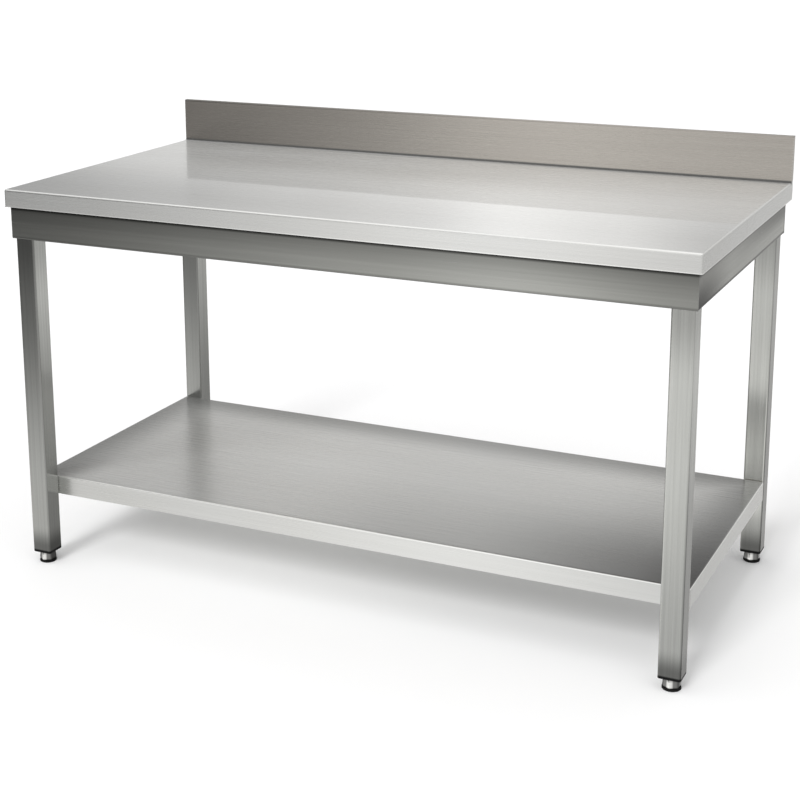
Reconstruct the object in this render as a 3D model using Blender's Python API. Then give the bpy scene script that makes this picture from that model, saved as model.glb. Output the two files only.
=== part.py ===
"""Stainless work table for a restaurant kitchen.

A folded worktop with a rear upstand stands on a frame of four folded rails and
four square-tube legs. A folded undershelf is bolted between the front and rear
legs, and each leg ends in a plastic plug with a levelling foot screwed into it.

Units are metres, +Z is up and the front of the table faces -Y. The origin lies
on the floor, under the middle of the worktop.
"""

import math

import bmesh
import bpy

# ------------------------------------------------------------- driving sizes
WIDTH = 1.500  # along X
DEPTH = 0.750  # along Y, upstand included
WORK_HEIGHT = 0.850  # floor to working surface
UPSTAND_HEIGHT = 0.100  # above the working surface
UPSTAND_RETURN = 0.015  # how far the upstand's head folds back

TOP_SHEET = 0.0015
SKIRT = 0.038  # depth of the folded front and side edges
SKIRT_LIP = 0.006
EDGE_RADIUS = 0.005
BOARD = 0.018  # sound-deadening board under the sheet

RAIL_SHEET = 0.0015
RAIL_BOTTOM = 0.742
RAIL_INSET_SIDE = 0.008
RAIL_INSET_FRONT = 0.011
RAIL_INSET_REAR = 0.024
RAIL_FLANGE = 0.026

LEG = 0.045
LEG_WALL = 0.0015
LEG_CORNER = 0.004
LEG_BOTTOM = 0.030
BRACKET_SHEET = 0.003

SHELF_TOP = 0.196
SHELF_SHEET = 0.0012
SHELF_FOLD = 0.042
SHELF_LIP = 0.012

PLUG_FLANGE = 0.0045
FOOT_FLATS = 0.032
STUD_RADIUS = 0.005
STUD_BORE = 0.0055
STUD_REACH = 0.056  # above the tube's end, so the nut still holds it when the foot is let down
PAD_HEIGHT = 0.0052
PAD_RADIUS = 0.0185

GAP = 0.0003  # clearance kept between neighbours

HALF_W = WIDTH / 2
HALF_D = DEPTH / 2
TOTAL_HEIGHT = WORK_HEIGHT + UPSTAND_HEIGHT
UPSTAND_FACE = HALF_D - UPSTAND_RETURN
SKIRT_BOTTOM = WORK_HEIGHT - SKIRT
BOARD_TOP = WORK_HEIGHT - TOP_SHEET - GAP
BOARD_BOTTOM = BOARD_TOP - BOARD
RAIL_TOP = BOARD_BOTTOM - GAP
RAIL_X = HALF_W - RAIL_INSET_SIDE
RAIL_Y0 = -HALF_D + RAIL_INSET_FRONT
RAIL_Y1 = HALF_D - RAIL_INSET_REAR
LEG_INSET = RAIL_SHEET + BRACKET_SHEET + 2 * GAP
LEG_X = RAIL_X - LEG_INSET - LEG / 2
LEG_Y0 = RAIL_Y0 + LEG_INSET + LEG / 2
LEG_Y1 = RAIL_Y1 - LEG_INSET - LEG / 2
LEG_TOP = RAIL_TOP - RAIL_SHEET - GAP
LEGS = {
    "front_left": (-LEG_X, LEG_Y0, -1, -1),
    "front_right": (LEG_X, LEG_Y0, 1, -1),
    "rear_left": (-LEG_X, LEG_Y1, -1, 1),
    "rear_right": (LEG_X, LEG_Y1, 1, 1),
}


# ------------------------------------------------------------------ scene
def clear_scene():
    for ob in list(bpy.data.objects):
        bpy.data.objects.remove(ob, do_unlink=True)


def material(name, colour, metallic, roughness):
    mat = bpy.data.materials.new(name)
    mat.use_nodes = True
    shader = mat.node_tree.nodes["Principled BSDF"]
    shader.inputs["Base Color"].default_value = (*colour, 1)
    shader.inputs["Metallic"].default_value = metallic
    shader.inputs["Roughness"].default_value = roughness
    return mat


def add_object(name, bm, finish, origin=(0, 0, 0), smooth=None):
    """Turns a bmesh in world coordinates into an object whose origin is where asked."""
    bmesh.ops.recalc_face_normals(bm, faces=bm.faces)
    for v in bm.verts:
        v.co.x -= origin[0]
        v.co.y -= origin[1]
        v.co.z -= origin[2]
    mesh = bpy.data.meshes.new(name)
    bm.to_mesh(mesh)
    bm.free()
    if smooth:
        mesh.shade_smooth()
        mesh.set_sharp_from_angle(angle=math.radians(smooth))
    ob = bpy.data.objects.new(name, mesh)
    ob.location = origin
    bpy.context.scene.collection.objects.link(ob)
    mesh.materials.append(material(name, *finish))
    return ob


def add_guide(name, bm):
    """A cutter or an added block: it shapes another object and isn't a piece itself."""
    ob = add_object(name, bm, STEEL)
    ob.hide_render = True
    ob.display_type = "WIRE"
    return ob


def combine(ob, guide, operation):
    mod = ob.modifiers.new(guide.name, "BOOLEAN")
    mod.operation = operation
    mod.solver = "EXACT"
    mod.object = guide


# ------------------------------------------------------------------ shapes
def block(x0, x1, y0, y1, z0, z1, bm=None):
    bm = bm or bmesh.new()
    made = bmesh.ops.create_cube(bm, size=1)["verts"]
    for v in made:
        v.co.x = x0 if v.co.x < 0 else x1
        v.co.y = y0 if v.co.y < 0 else y1
        v.co.z = z0 if v.co.z < 0 else z1
    return bm


def prism(outline, axis, start, end, bm=None):
    """A closed outline of (u, v) points, run along an axis: u, v are Y, Z along X; X, Z along Y; X, Y along Z."""
    bm = bm or bmesh.new()

    def at(u, v, w):
        return {"X": (w, u, v), "Y": (u, w, v), "Z": (u, v, w)}[axis]

    low = [bm.verts.new(at(u, v, start)) for u, v in outline]
    high = [bm.verts.new(at(u, v, end)) for u, v in outline]
    bm.faces.new(low)
    bm.faces.new(high[::-1])
    count = len(outline)
    for i in range(count):
        j = (i + 1) % count
        bm.faces.new((low[j], low[i], high[i], high[j]))
    return bm


def folded(path, sheet, radius, steps=3):
    """The outline of a folded sheet: the path is its outer face, and the sheet lies to the path's left."""

    def side(offset):
        points = []
        for i, (x, y) in enumerate(path):
            if i in (0, len(path) - 1):
                j = 0 if i == 0 else len(path) - 2
                dx, dy = path[j + 1][0] - path[j][0], path[j + 1][1] - path[j][1]
                length = math.hypot(dx, dy)
                points.append((x - dy / length * offset, y + dx / length * offset))
                continue
            (ax, ay), (bx, by) = path[i - 1], path[i + 1]
            d0 = (x - ax, y - ay)
            d1 = (bx - x, by - y)
            l0, l1 = math.hypot(*d0), math.hypot(*d1)
            d0, d1 = (d0[0] / l0, d0[1] / l0), (d1[0] / l1, d1[1] / l1)
            turn = d0[0] * d1[1] - d0[1] * d1[0]
            bend = math.atan2(turn, d0[0] * d1[0] + d0[1] * d1[1])
            # radius belongs to the outer face of a bend towards the left
            r = radius if turn > 0 else radius - sheet
            set_back = r * math.tan(abs(bend) / 2)
            sign = 1 if turn > 0 else -1
            cx = x - d0[0] * set_back - d0[1] * r * sign
            cy = y - d0[1] * set_back + d0[0] * r * sign
            arm = r - sign * offset
            first = math.atan2(d0[0] * -sign, d0[1] * sign)
            for k in range(steps + 1):
                a = first + bend * k / steps
                points.append((cx + arm * math.cos(a), cy + arm * math.sin(a)))
        return points

    return side(0) + side(sheet)[::-1]


def rounded_square(cx, cy, half, radius, steps):
    points = []
    for sx, sy, start in ((1, 1, 0), (-1, 1, 90), (-1, -1, 180), (1, -1, 270)):
        for k in range(steps + 1):
            a = math.radians(start + 90 * k / steps)
            points.append(
                (
                    cx + sx * (half - radius) + radius * math.cos(a),
                    cy + sy * (half - radius) + radius * math.sin(a),
                )
            )
    return points


def regular(cx, cy, radius, sides, turn=0.0):
    return [
        (
            cx + radius * math.cos(turn + math.tau * k / sides),
            cy + radius * math.sin(turn + math.tau * k / sides),
        )
        for k in range(sides)
    ]


def ring(outer, inner, z0, z1):
    """A wall between two outlines with the same number of points, open at both ends."""
    bm = bmesh.new()
    loops = [
        [bm.verts.new((x, y, z)) for x, y in line]
        for line, z in ((outer, z0), (outer, z1), (inner, z1), (inner, z0))
    ]
    count = len(outer)
    for a, b in ((0, 1), (1, 2), (2, 3), (3, 0)):
        for i in range(count):
            j = (i + 1) % count
            bm.faces.new((loops[a][i], loops[a][j], loops[b][j], loops[b][i]))
    return bm


def stack(sections):
    """Outlines with equal point counts, joined one above another and closed at both ends."""
    bm = bmesh.new()
    loops = [[bm.verts.new((x, y, z)) for x, y in line] for line, z in sections]
    for low, high in zip(loops, loops[1:]):
        for i in range(len(low)):
            j = (i + 1) % len(low)
            bm.faces.new((low[i], low[j], high[j], high[i]))
    bm.faces.new(loops[0][::-1])
    bm.faces.new(loops[-1])
    return bm


def soft_edges(bm, chosen, radius, steps):
    bmesh.ops.bevel(
        bm,
        geom=[e for e in bm.edges if chosen(e)],
        offset=radius,
        offset_type="OFFSET",
        segments=steps,
        profile=0.5,
        affect="EDGES",
    )
    return bm


def upright(e):
    a, b = e.verts
    return abs(a.co.x - b.co.x) < 1e-6 and abs(a.co.y - b.co.y) < 1e-6


STEEL = ((0.62, 0.62, 0.60), 1.0, 0.30)
RAIL_STEEL = ((0.46, 0.46, 0.44), 1.0, 0.35)
ZINC = ((0.55, 0.56, 0.58), 1.0, 0.35)
BOARD_FINISH = ((0.50, 0.38, 0.25), 0.0, 0.80)
PLASTIC = ((0.012, 0.012, 0.013), 0.0, 0.45)
RUBBER = ((0.010, 0.010, 0.010), 0.0, 0.80)


# ----------------------------------------------------------------- worktop
def make_worktop():
    def tray_block(inset, top, bottom, rear, radius):
        bm = block(-HALF_W + inset, HALF_W - inset, -HALF_D + inset, rear, bottom, top)

        def folded_edge(e):
            a, b = e.verts
            mid = (a.co + b.co) / 2
            at_rear = mid.y > rear - 1e-6
            if at_rear:
                return False
            if upright(e):
                return True
            return mid.z > top - 1e-6

        return soft_edges(bm, folded_edge, radius, 4)

    outer = tray_block(0, WORK_HEIGHT, SKIRT_BOTTOM, HALF_D, EDGE_RADIUS)
    top = add_object("worktop_skin", outer, STEEL, smooth=35)
    hollow = tray_block(
        TOP_SHEET,
        WORK_HEIGHT - TOP_SHEET,
        SKIRT_BOTTOM - 0.01,
        HALF_D + 0.02,
        EDGE_RADIUS - TOP_SHEET,
    )
    combine(top, add_guide("cut_worktop_hollow", hollow), "DIFFERENCE")
    # behind the upstand the sheet is open, so the flat part stops where the upstand's bend begins
    bend_start = UPSTAND_FACE - 0.008
    behind = block(
        -HALF_W + TOP_SHEET,
        HALF_W - TOP_SHEET,
        bend_start,
        HALF_D + 0.02,
        WORK_HEIGHT - 0.012,
        WORK_HEIGHT + 0.01,
    )
    combine(top, add_guide("cut_worktop_rear", behind), "DIFFERENCE")
    # upstand: up from the top sheet, back at the head, and down a short way
    path = [
        (bend_start - 0.002, WORK_HEIGHT - TOP_SHEET),
        (UPSTAND_FACE + TOP_SHEET, WORK_HEIGHT - TOP_SHEET),
        (UPSTAND_FACE + TOP_SHEET, TOTAL_HEIGHT - TOP_SHEET),
        (HALF_D - TOP_SHEET, TOTAL_HEIGHT - TOP_SHEET),
        (HALF_D - TOP_SHEET, TOTAL_HEIGHT - 0.022),
    ]
    rise = prism(
        folded(path, TOP_SHEET, 0.0045),
        "X",
        -HALF_W + TOP_SHEET / 2,
        HALF_W - TOP_SHEET / 2,
    )
    combine(top, add_guide("add_upstand", rise), "UNION")
    for side in (-1, 1):
        x0, x1 = sorted((side * HALF_W, side * (HALF_W - TOP_SHEET)))
        cheek = block(
            x0, x1, UPSTAND_FACE, HALF_D, WORK_HEIGHT - 0.010, TOTAL_HEIGHT
        )

        def head_edge(e):
            mid = (e.verts[0].co + e.verts[1].co) / 2
            return mid.z > TOTAL_HEIGHT - 1e-6 and abs(
                e.verts[0].co.x - e.verts[1].co.x
            ) > 1e-6

        soft_edges(cheek, head_edge, 0.003, 3)
        combine(top, add_guide(f"add_upstand_cheek_{side + 2}", cheek), "UNION")
    # the skirt's lower edge turns inwards
    lips = (
        (-HALF_W + 0.0008, HALF_W - 0.0008, -HALF_D + 0.0008, -HALF_D + SKIRT_LIP),
        (-HALF_W + 0.0008, -HALF_W + SKIRT_LIP, -HALF_D + 0.0008, HALF_D - 0.001),
        (HALF_W - SKIRT_LIP, HALF_W - 0.0008, -HALF_D + 0.0008, HALF_D - 0.001),
    )
    for k, (x0, x1, y0, y1) in enumerate(lips):
        lip = block(x0, x1, y0, y1, SKIRT_BOTTOM, SKIRT_BOTTOM + TOP_SHEET)
        combine(top, add_guide(f"add_skirt_lip_{k + 1}", lip), "UNION")
    return top


def make_board():
    side = TOP_SHEET + 0.0012
    board = block(
        -HALF_W + side,
        HALF_W - side,
        -HALF_D + side,
        UPSTAND_FACE - 0.004,
        BOARD_BOTTOM,
        BOARD_TOP,
    )
    soft_edges(
        board,
        lambda e: (upright(e) and e.verts[0].co.y < 0)
        or (
            not upright(e)
            and e.verts[0].co.z > BOARD_TOP - 1e-6
            and e.verts[1].co.z > BOARD_TOP - 1e-6
        ),
        0.0040,
        2,
    )
    return add_object("underlay_board", board, BOARD_FINISH)


# ------------------------------------------------------------------- frame
def rail_section(face, inward):
    """A C rail seen along its length: a web on the outer face with a flange at the head and at the foot."""
    inner = face + inward * RAIL_FLANGE
    path = [
        (inner, RAIL_BOTTOM + 0.008),
        (inner, RAIL_BOTTOM),
        (face, RAIL_BOTTOM),
        (face, RAIL_TOP),
        (inner, RAIL_TOP),
    ]
    if inward > 0:
        path = path[::-1]
    return folded(path, RAIL_SHEET, 0.003, 2)


def make_rails():
    corner = LEG_INSET + LEG + 0.004  # the flanges are cut back round the legs
    for name, face, inward in (
        ("apron_front", RAIL_Y0, 1),
        ("apron_rear", RAIL_Y1, -1),
    ):
        rail = add_object(
            name,
            prism(rail_section(face, inward), "X", -RAIL_X, RAIL_X),
            RAIL_STEEL,
            smooth=30,
        )
        for side in (-1, 1):
            x0, x1 = sorted((side * (RAIL_X - corner), side * (RAIL_X + 0.01)))
            y0, y1 = sorted(
                (
                    face + inward * (RAIL_SHEET + GAP / 2),
                    face + inward * (RAIL_FLANGE + 0.01),
                )
            )
            notch = block(x0, x1, y0, y1, RAIL_BOTTOM - 0.01, RAIL_TOP + 0.01)
            combine(rail, add_guide(f"cut_{name}_{side + 2}", notch), "DIFFERENCE")
    for name, side in (("apron_left", -1), ("apron_right", 1)):
        inner = side * (RAIL_X - RAIL_FLANGE)
        face = side * RAIL_X
        path = [
            (inner, RAIL_BOTTOM + 0.008),
            (inner, RAIL_BOTTOM),
            (face, RAIL_BOTTOM),
            (face, RAIL_TOP),
            (inner, RAIL_TOP),
        ]
        if side < 0:
            path = path[::-1]
        y0, y1 = RAIL_Y0 + RAIL_SHEET + GAP, RAIL_Y1 - RAIL_SHEET - GAP
        rail = add_object(
            name,
            prism(folded(path, RAIL_SHEET, 0.003, 2), "Y", y0, y1),
            RAIL_STEEL,
            smooth=30,
        )
        x0, x1 = sorted(
            (
                side * (RAIL_X - RAIL_SHEET - GAP / 2),
                side * (RAIL_X - RAIL_FLANGE - 0.01),
            )
        )
        for k, (a, b) in enumerate(
            ((y0 - 0.01, RAIL_Y0 + corner), (RAIL_Y1 - corner, y1 + 0.01))
        ):
            notch = block(x0, x1, a, b, RAIL_BOTTOM - 0.01, RAIL_TOP + 0.01)
            combine(rail, add_guide(f"cut_{name}_{k + 1}", notch), "DIFFERENCE")


def make_cross_channels():
    """Two top-hat channels run front to back under the board and stop short of the rail flanges."""
    y0 = RAIL_Y0 + RAIL_FLANGE + 0.0015
    y1 = RAIL_Y1 - RAIL_FLANGE - 0.0015
    for name, x in (("cross_channel_left", -0.25), ("cross_channel_right", 0.25)):
        half, brim, deep = 0.020, 0.018, 0.030
        path = [
            (x - half - brim, RAIL_TOP),
            (x - half, RAIL_TOP),
            (x - half, RAIL_TOP - deep),
            (x + half, RAIL_TOP - deep),
            (x + half, RAIL_TOP),
            (x + half + brim, RAIL_TOP),
        ]
        outline = folded(
            [(u, v - (RAIL_SHEET if v == RAIL_TOP else 0)) for u, v in path],
            RAIL_SHEET,
            0.003,
            2,
        )
        add_object(name, prism(outline, "Y", y0, y1), RAIL_STEEL, smooth=30)


def make_top_screws():
    """Pan-head screws run up through the rails' head flanges into the board."""
    y_front = RAIL_Y0 + 0.014
    y_rear = RAIL_Y1 - 0.014
    spots = [(x, y) for y in (y_front, y_rear) for x in (-0.5, 0.0, 0.5)]
    for k, (x, y) in enumerate(spots):
        flange = RAIL_TOP - RAIL_SHEET
        sides = 12
        bm = stack(
            [
                (regular(x, y, 0.0030, sides), flange - GAP - 0.0036),
                (regular(x, y, 0.0052, sides), flange - GAP - 0.0026),
                (regular(x, y, 0.0058, sides), flange - GAP - 0.0010),
                (regular(x, y, 0.0058, sides), flange - GAP),
                (regular(x, y, 0.0021, sides), flange - GAP + 0.00001),
                (regular(x, y, 0.0021, sides), RAIL_TOP + 0.011),
                (regular(x, y, 0.0004, sides), RAIL_TOP + 0.014),
            ]
        )
        add_object(f"top_screw_{k + 1}", bm, ZINC, origin=(x, y, flange), smooth=35)
    return spots


def cut_screw_holes(spots):
    board = bpy.data.objects["underlay_board"]
    for k, (x, y) in enumerate(spots):
        hole = prism(regular(x, y, 0.0026, 12), "Z", RAIL_TOP - 0.01, RAIL_TOP + 0.0155)
        guide = add_guide(f"cut_top_screw_{k + 1}", hole)
        combine(board, guide, "DIFFERENCE")
        rail = bpy.data.objects["apron_front" if y < 0 else "apron_rear"]
        combine(rail, guide, "DIFFERENCE")


# -------------------------------------------------------------------- legs
BOLT_RADIUS = 0.004
BOLT_HOLE = 0.0044
BOLT_Z = {"x": 0.772, "y": 0.800}


def hole_guide(name, axis, centre, start, end, radius=BOLT_HOLE, sides=16):
    """A round cutter along X or Y."""
    return add_guide(
        name, prism(regular(*centre, radius, sides, math.pi / sides), axis, start, end)
    )


def make_legs():
    for name, (x, y, sx, sy) in LEGS.items():
        outer = rounded_square(x, y, LEG / 2, LEG_CORNER, 4)
        inner = rounded_square(
            x, y, LEG / 2 - LEG_WALL, LEG_CORNER - LEG_WALL, 4
        )
        leg = add_object(
            f"leg_{name}",
            ring(outer, inner, LEG_BOTTOM, LEG_TOP),
            STEEL,
            origin=(x, y, LEG_BOTTOM),
            smooth=30,
        )
        # corner bracket: an angle that lines the rails' corner, outside the leg
        reach = LEG + 0.002
        ox, oy = x + sx * (LEG / 2 + GAP), y + sy * (LEG / 2 + GAP)
        path = [
            (ox - sx * reach, oy + sy * BRACKET_SHEET),
            (ox + sx * BRACKET_SHEET, oy + sy * BRACKET_SHEET),
            (ox + sx * BRACKET_SHEET, oy - sy * reach),
        ]
        if sx * sy > 0:
            path = path[::-1]
        bracket = add_object(
            f"corner_bracket_{name}",
            prism(
                folded(path, BRACKET_SHEET, 0.0045, 3),
                "Z",
                RAIL_BOTTOM + RAIL_SHEET + 0.0005,
                RAIL_TOP - RAIL_SHEET - 0.0005,
            ),
            ZINC,
            smooth=30,
        )
        for axis, s, along, across in (("x", sx, x, y), ("y", sy, y, x)):
            z = BOLT_Z[axis]
            inside = along - s * LEG / 2
            tip = along + s * (LEG / 2 + GAP + BRACKET_SHEET - 0.0002)
            limit = along + s * (LEG / 2 + GAP + BRACKET_SHEET + 0.0002)
            a, b = sorted((inside - s * 0.02, limit))
            guide = hole_guide(
                f"cut_leg_bolt_{name}_{axis}", axis.upper(), (across, z), a, b
            )
            combine(leg, guide, "DIFFERENCE")
            combine(bracket, guide, "DIFFERENCE")
            bolt_sections(
                f"leg_bolt_{name}_{axis}", axis, s, inside, tip, across, z
            )


def bolt_sections(name, axis, s, seat, tip, across, z):
    """A hexagon-head bolt whose head bears on a face at seat and whose shank ends at tip."""
    sides = 12
    head = 0.0053
    flats = 0.013 / math.sqrt(3)

    def hexagon(radius):
        corners = regular(0, 0, radius, 6)
        out = []
        for i in range(6):
            (ax, ay), (bx, by) = corners[i], corners[(i + 1) % 6]
            out += [(ax, ay), ((ax + bx) / 2, (ay + by) / 2)]
        return out

    stations = [
        (regular(0, 0, 0.0058, sides), seat - s * (GAP + head)),
        (hexagon(flats), seat - s * (GAP + head - 0.0008)),
        (hexagon(flats), seat - s * GAP),
        (regular(0, 0, BOLT_RADIUS, sides), seat - s * (GAP - 0.00001)),
        (regular(0, 0, BOLT_RADIUS, sides), tip - s * 0.0006),
        (regular(0, 0, BOLT_RADIUS - 0.0006, sides), tip),
    ]
    bm = bmesh.new()
    loops = []
    for line, w in stations:
        loops.append(
            [
                bm.verts.new(
                    (w, across + u, z + v) if axis == "x" else (across + u, w, z + v)
                )
                for u, v in line
            ]
        )
    for low, high in zip(loops, loops[1:]):
        for i in range(sides):
            j = (i + 1) % sides
            bm.faces.new((low[i], low[j], high[j], high[i]))
    bm.faces.new(loops[0])
    bm.faces.new(loops[-1])
    origin = (seat, across, z) if axis == "x" else (across, seat, z)
    return add_object(name, bm, ZINC, origin=origin, smooth=30)


# ------------------------------------------------------------------- shelf
def make_shelf():
    y0 = LEG_Y0 + LEG / 2 + GAP
    y1 = LEG_Y1 - LEG / 2 - GAP
    half = LEG_X + LEG / 2
    low = SHELF_TOP - SHELF_FOLD

    def tray_block(inset, top, bottom, radius):
        bm = block(-half + inset, half - inset, y0 + inset, y1 - inset, bottom, top)
        return soft_edges(
            bm,
            lambda e: upright(e)
            or (e.verts[0].co.z > top - 1e-6 and e.verts[1].co.z > top - 1e-6),
            radius,
            3,
        )

    shelf = add_object(
        "shelf_tray", tray_block(0, SHELF_TOP, low, 0.003), STEEL, smooth=35
    )
    hollow = tray_block(
        SHELF_SHEET, SHELF_TOP - SHELF_SHEET, low - 0.01, 0.003 - SHELF_SHEET
    )
    combine(shelf, add_guide("cut_shelf_hollow", hollow), "DIFFERENCE")
    e = 0.0006
    lips = (
        (-half + e, half - e, y0 + e, y0 + SHELF_LIP),
        (-half + e, half - e, y1 - SHELF_LIP, y1 - e),
        (-half + e, -half + SHELF_LIP, y0 + e, y1 - e),
        (half - SHELF_LIP, half - e, y0 + e, y1 - e),
    )
    for k, (a, b, c, d) in enumerate(lips):
        lip = block(a, b, c, d, low, low + SHELF_SHEET)
        combine(shelf, add_guide(f"add_shelf_lip_{k + 1}", lip), "UNION")
    # a top-hat channel stiffens the shelf lengthwise
    mid = (y0 + y1) / 2
    deep, hat, brim = 0.028, 0.035, 0.020
    z = SHELF_TOP - SHELF_SHEET - GAP
    path = [
        (mid - hat - brim, z - SHELF_SHEET),
        (mid - hat, z - SHELF_SHEET),
        (mid - hat, z - deep),
        (mid + hat, z - deep),
        (mid + hat, z - SHELF_SHEET),
        (mid + hat + brim, z - SHELF_SHEET),
    ]
    end = half - SHELF_LIP - 0.002
    add_object(
        "shelf_channel",
        prism(folded(path, SHELF_SHEET, 0.003, 2), "X", -end, end),
        STEEL,
        smooth=30,
    )
    # each leg is bolted to the shelf's folded edge from inside the tray
    for name, (x, y, sx, sy) in LEGS.items():
        z = SHELF_TOP - 0.021
        edge = y0 if sy < 0 else y1
        seat = edge - sy * SHELF_SHEET
        tip = edge + sy * (GAP + LEG_WALL + 0.010)
        a, b = sorted((seat - sy * 0.002, tip + sy * 0.004))
        guide = hole_guide(f"cut_shelf_bolt_{name}", "Y", (x, z), a, b)
        combine(shelf, guide, "DIFFERENCE")
        combine(bpy.data.objects[f"leg_{name}"], guide, "DIFFERENCE")
        bolt_sections(f"shelf_bolt_{name}", "y", sy, seat, tip, x, z)


# -------------------------------------------------------------------- feet
def make_feet():
    sides = 24
    plug_low = LEG_BOTTOM - GAP - PLUG_FLANGE
    for name, (x, y, sx, sy) in LEGS.items():
        # plug: a flange under the tube's end and a body inside the tube
        body = LEG / 2 - LEG_WALL - GAP
        plug = stack(
            [
                (rounded_square(x, y, LEG / 2 - 0.0006, LEG_CORNER, 3), plug_low),
                (
                    rounded_square(x, y, LEG / 2, LEG_CORNER, 3),
                    plug_low + 0.0006,
                ),
                (rounded_square(x, y, LEG / 2, LEG_CORNER, 3), LEG_BOTTOM - GAP),
                (
                    rounded_square(x, y, body, 0.0025, 3),
                    LEG_BOTTOM - GAP + 0.00001,
                ),
                (rounded_square(x, y, body, 0.0025, 3), LEG_BOTTOM + 0.028),
                (
                    rounded_square(x, y, body - 0.0015, 0.0020, 3),
                    LEG_BOTTOM + 0.030,
                ),
            ]
        )
        ob = add_object(f"leg_plug_{name}", plug, PLASTIC, origin=(x, y, plug_low))
        bore = prism(
            regular(x, y, STUD_BORE, sides), "Z", plug_low - 0.01, LEG_BOTTOM + 0.05
        )
        combine(ob, add_guide(f"cut_plug_bore_{name}", bore), "DIFFERENCE")
        nut_low, nut_high = LEG_BOTTOM + 0.018, LEG_BOTTOM + 0.026
        nut = 0.017 / math.sqrt(3)
        pocket = prism(
            regular(x, y, nut + 0.0005, 6), "Z", nut_low - GAP, LEG_BOTTOM + 0.05
        )
        combine(ob, add_guide(f"cut_plug_pocket_{name}", pocket), "DIFFERENCE")
        hexagon = prism(regular(x, y, nut, 6), "Z", nut_low, nut_high)
        ob = add_object(f"plug_nut_{name}", hexagon, ZINC, origin=(x, y, nut_low))
        thread = prism(
            regular(x, y, STUD_BORE, sides), "Z", nut_low - 0.01, nut_high + 0.01
        )
        combine(ob, add_guide(f"cut_nut_{name}", thread), "DIFFERENCE")
        # pad: it rests on the floor and carries the foot screw in a round socket
        pad = stack(
            [
                (regular(x, y, PAD_RADIUS - 0.0010, sides), 0.0),
                (regular(x, y, PAD_RADIUS, sides), 0.0010),
                (regular(x, y, PAD_RADIUS, sides), PAD_HEIGHT - 0.0008),
                (regular(x, y, PAD_RADIUS - 0.0008, sides), PAD_HEIGHT),
            ]
        )
        ob = add_object(f"foot_pad_{name}", pad, RUBBER, origin=(x, y, 0), smooth=30)
        socket = prism(
            regular(x, y, 0.0070, sides), "Z", PAD_HEIGHT - 0.0030, PAD_HEIGHT + 0.01
        )
        combine(ob, add_guide(f"cut_pad_{name}", socket), "DIFFERENCE")
        # foot screw: a hexagonal body that tapers upwards, a stud above and a boss below
        corner = FOOT_FLATS / math.sqrt(3)

        def six(radius):
            """A hexagon with as many points as the round sections it joins."""
            corners = regular(x, y, radius, 6)
            out = []
            for i in range(6):
                (ax, ay), (bx, by) = corners[i], corners[(i + 1) % 6]
                for k in range(sides // 6):
                    t = k / (sides // 6)
                    out.append((ax + (bx - ax) * t, ay + (by - ay) * t))
            return out

        base = PAD_HEIGHT + GAP
        crown = plug_low - GAP
        screw = stack(
            [
                (regular(x, y, 0.0065, sides), PAD_HEIGHT - 0.0030 + GAP),
                (regular(x, y, 0.0065, sides), base - 0.00001),
                (six(corner * 0.97), base),
                (six(corner), base + 0.0010),
                (six(corner * 0.94), crown - 0.0022),
                (regular(x, y, FOOT_FLATS / 2 * 0.86, sides), crown),
                (regular(x, y, STUD_RADIUS, sides), crown + 0.00001),
                (regular(x, y, STUD_RADIUS, sides), LEG_BOTTOM + STUD_REACH - 0.001),
                (regular(x, y, STUD_RADIUS - 0.001, sides), LEG_BOTTOM + STUD_REACH),
            ]
        )
        add_object(
            f"foot_screw_{name}", screw, STEEL, origin=(x, y, PAD_HEIGHT), smooth=30
        )


def main():
    clear_scene()
    make_worktop()
    make_board()
    make_rails()
    make_cross_channels()
    cut_screw_holes(make_top_screws())
    make_legs()
    make_shelf()
    make_feet()


main()
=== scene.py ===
"""The looks of the stainless work table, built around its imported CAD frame."""

import math

import bmesh
import bpy
from mathutils import Matrix, Vector


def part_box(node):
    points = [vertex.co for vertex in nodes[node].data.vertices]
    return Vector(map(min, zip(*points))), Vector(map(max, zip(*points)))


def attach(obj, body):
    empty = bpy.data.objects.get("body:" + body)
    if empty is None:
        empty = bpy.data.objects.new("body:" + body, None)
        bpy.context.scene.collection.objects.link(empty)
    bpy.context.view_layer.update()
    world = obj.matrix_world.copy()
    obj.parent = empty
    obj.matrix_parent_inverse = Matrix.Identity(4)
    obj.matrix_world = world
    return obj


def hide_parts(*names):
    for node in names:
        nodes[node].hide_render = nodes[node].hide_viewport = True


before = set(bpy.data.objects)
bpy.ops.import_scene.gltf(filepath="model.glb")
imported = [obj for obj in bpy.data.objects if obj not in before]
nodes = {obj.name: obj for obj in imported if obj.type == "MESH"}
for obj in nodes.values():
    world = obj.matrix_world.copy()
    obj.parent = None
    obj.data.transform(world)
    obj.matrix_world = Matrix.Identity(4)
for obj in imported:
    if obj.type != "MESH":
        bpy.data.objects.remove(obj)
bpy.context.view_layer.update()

# ------------------------------------------------------------ sizes, metres
top_lo, top_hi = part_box("worktop_skin")
HALF_W, HALF_D = top_hi.x, top_hi.y
TOTAL_HEIGHT = top_hi.z
SKIRT_BOTTOM = top_lo.z
WORK_HEIGHT = SKIRT_BOTTOM + 0.038
TOP_SHEET = 0.0015
UPSTAND_FACE = HALF_D - 0.015
rail_lo, rail_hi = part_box("apron_front")
side_lo, side_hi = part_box("apron_right")
RAIL_X, RAIL_Y0 = rail_hi.x, rail_lo.y
RAIL_Y1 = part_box("apron_rear")[1].y
RAIL_BOTTOM, RAIL_TOP = rail_lo.z, rail_hi.z
RAIL_SHEET, RAIL_FLANGE = 0.0015, 0.026
LEG, LEG_WALL, LEG_CORNER = 0.045, 0.0015, 0.004
BRACKET_SHEET, GAP = 0.003, 0.0003
LEG_INSET = RAIL_SHEET + BRACKET_SHEET + 2 * GAP
LEGS = {}
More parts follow.
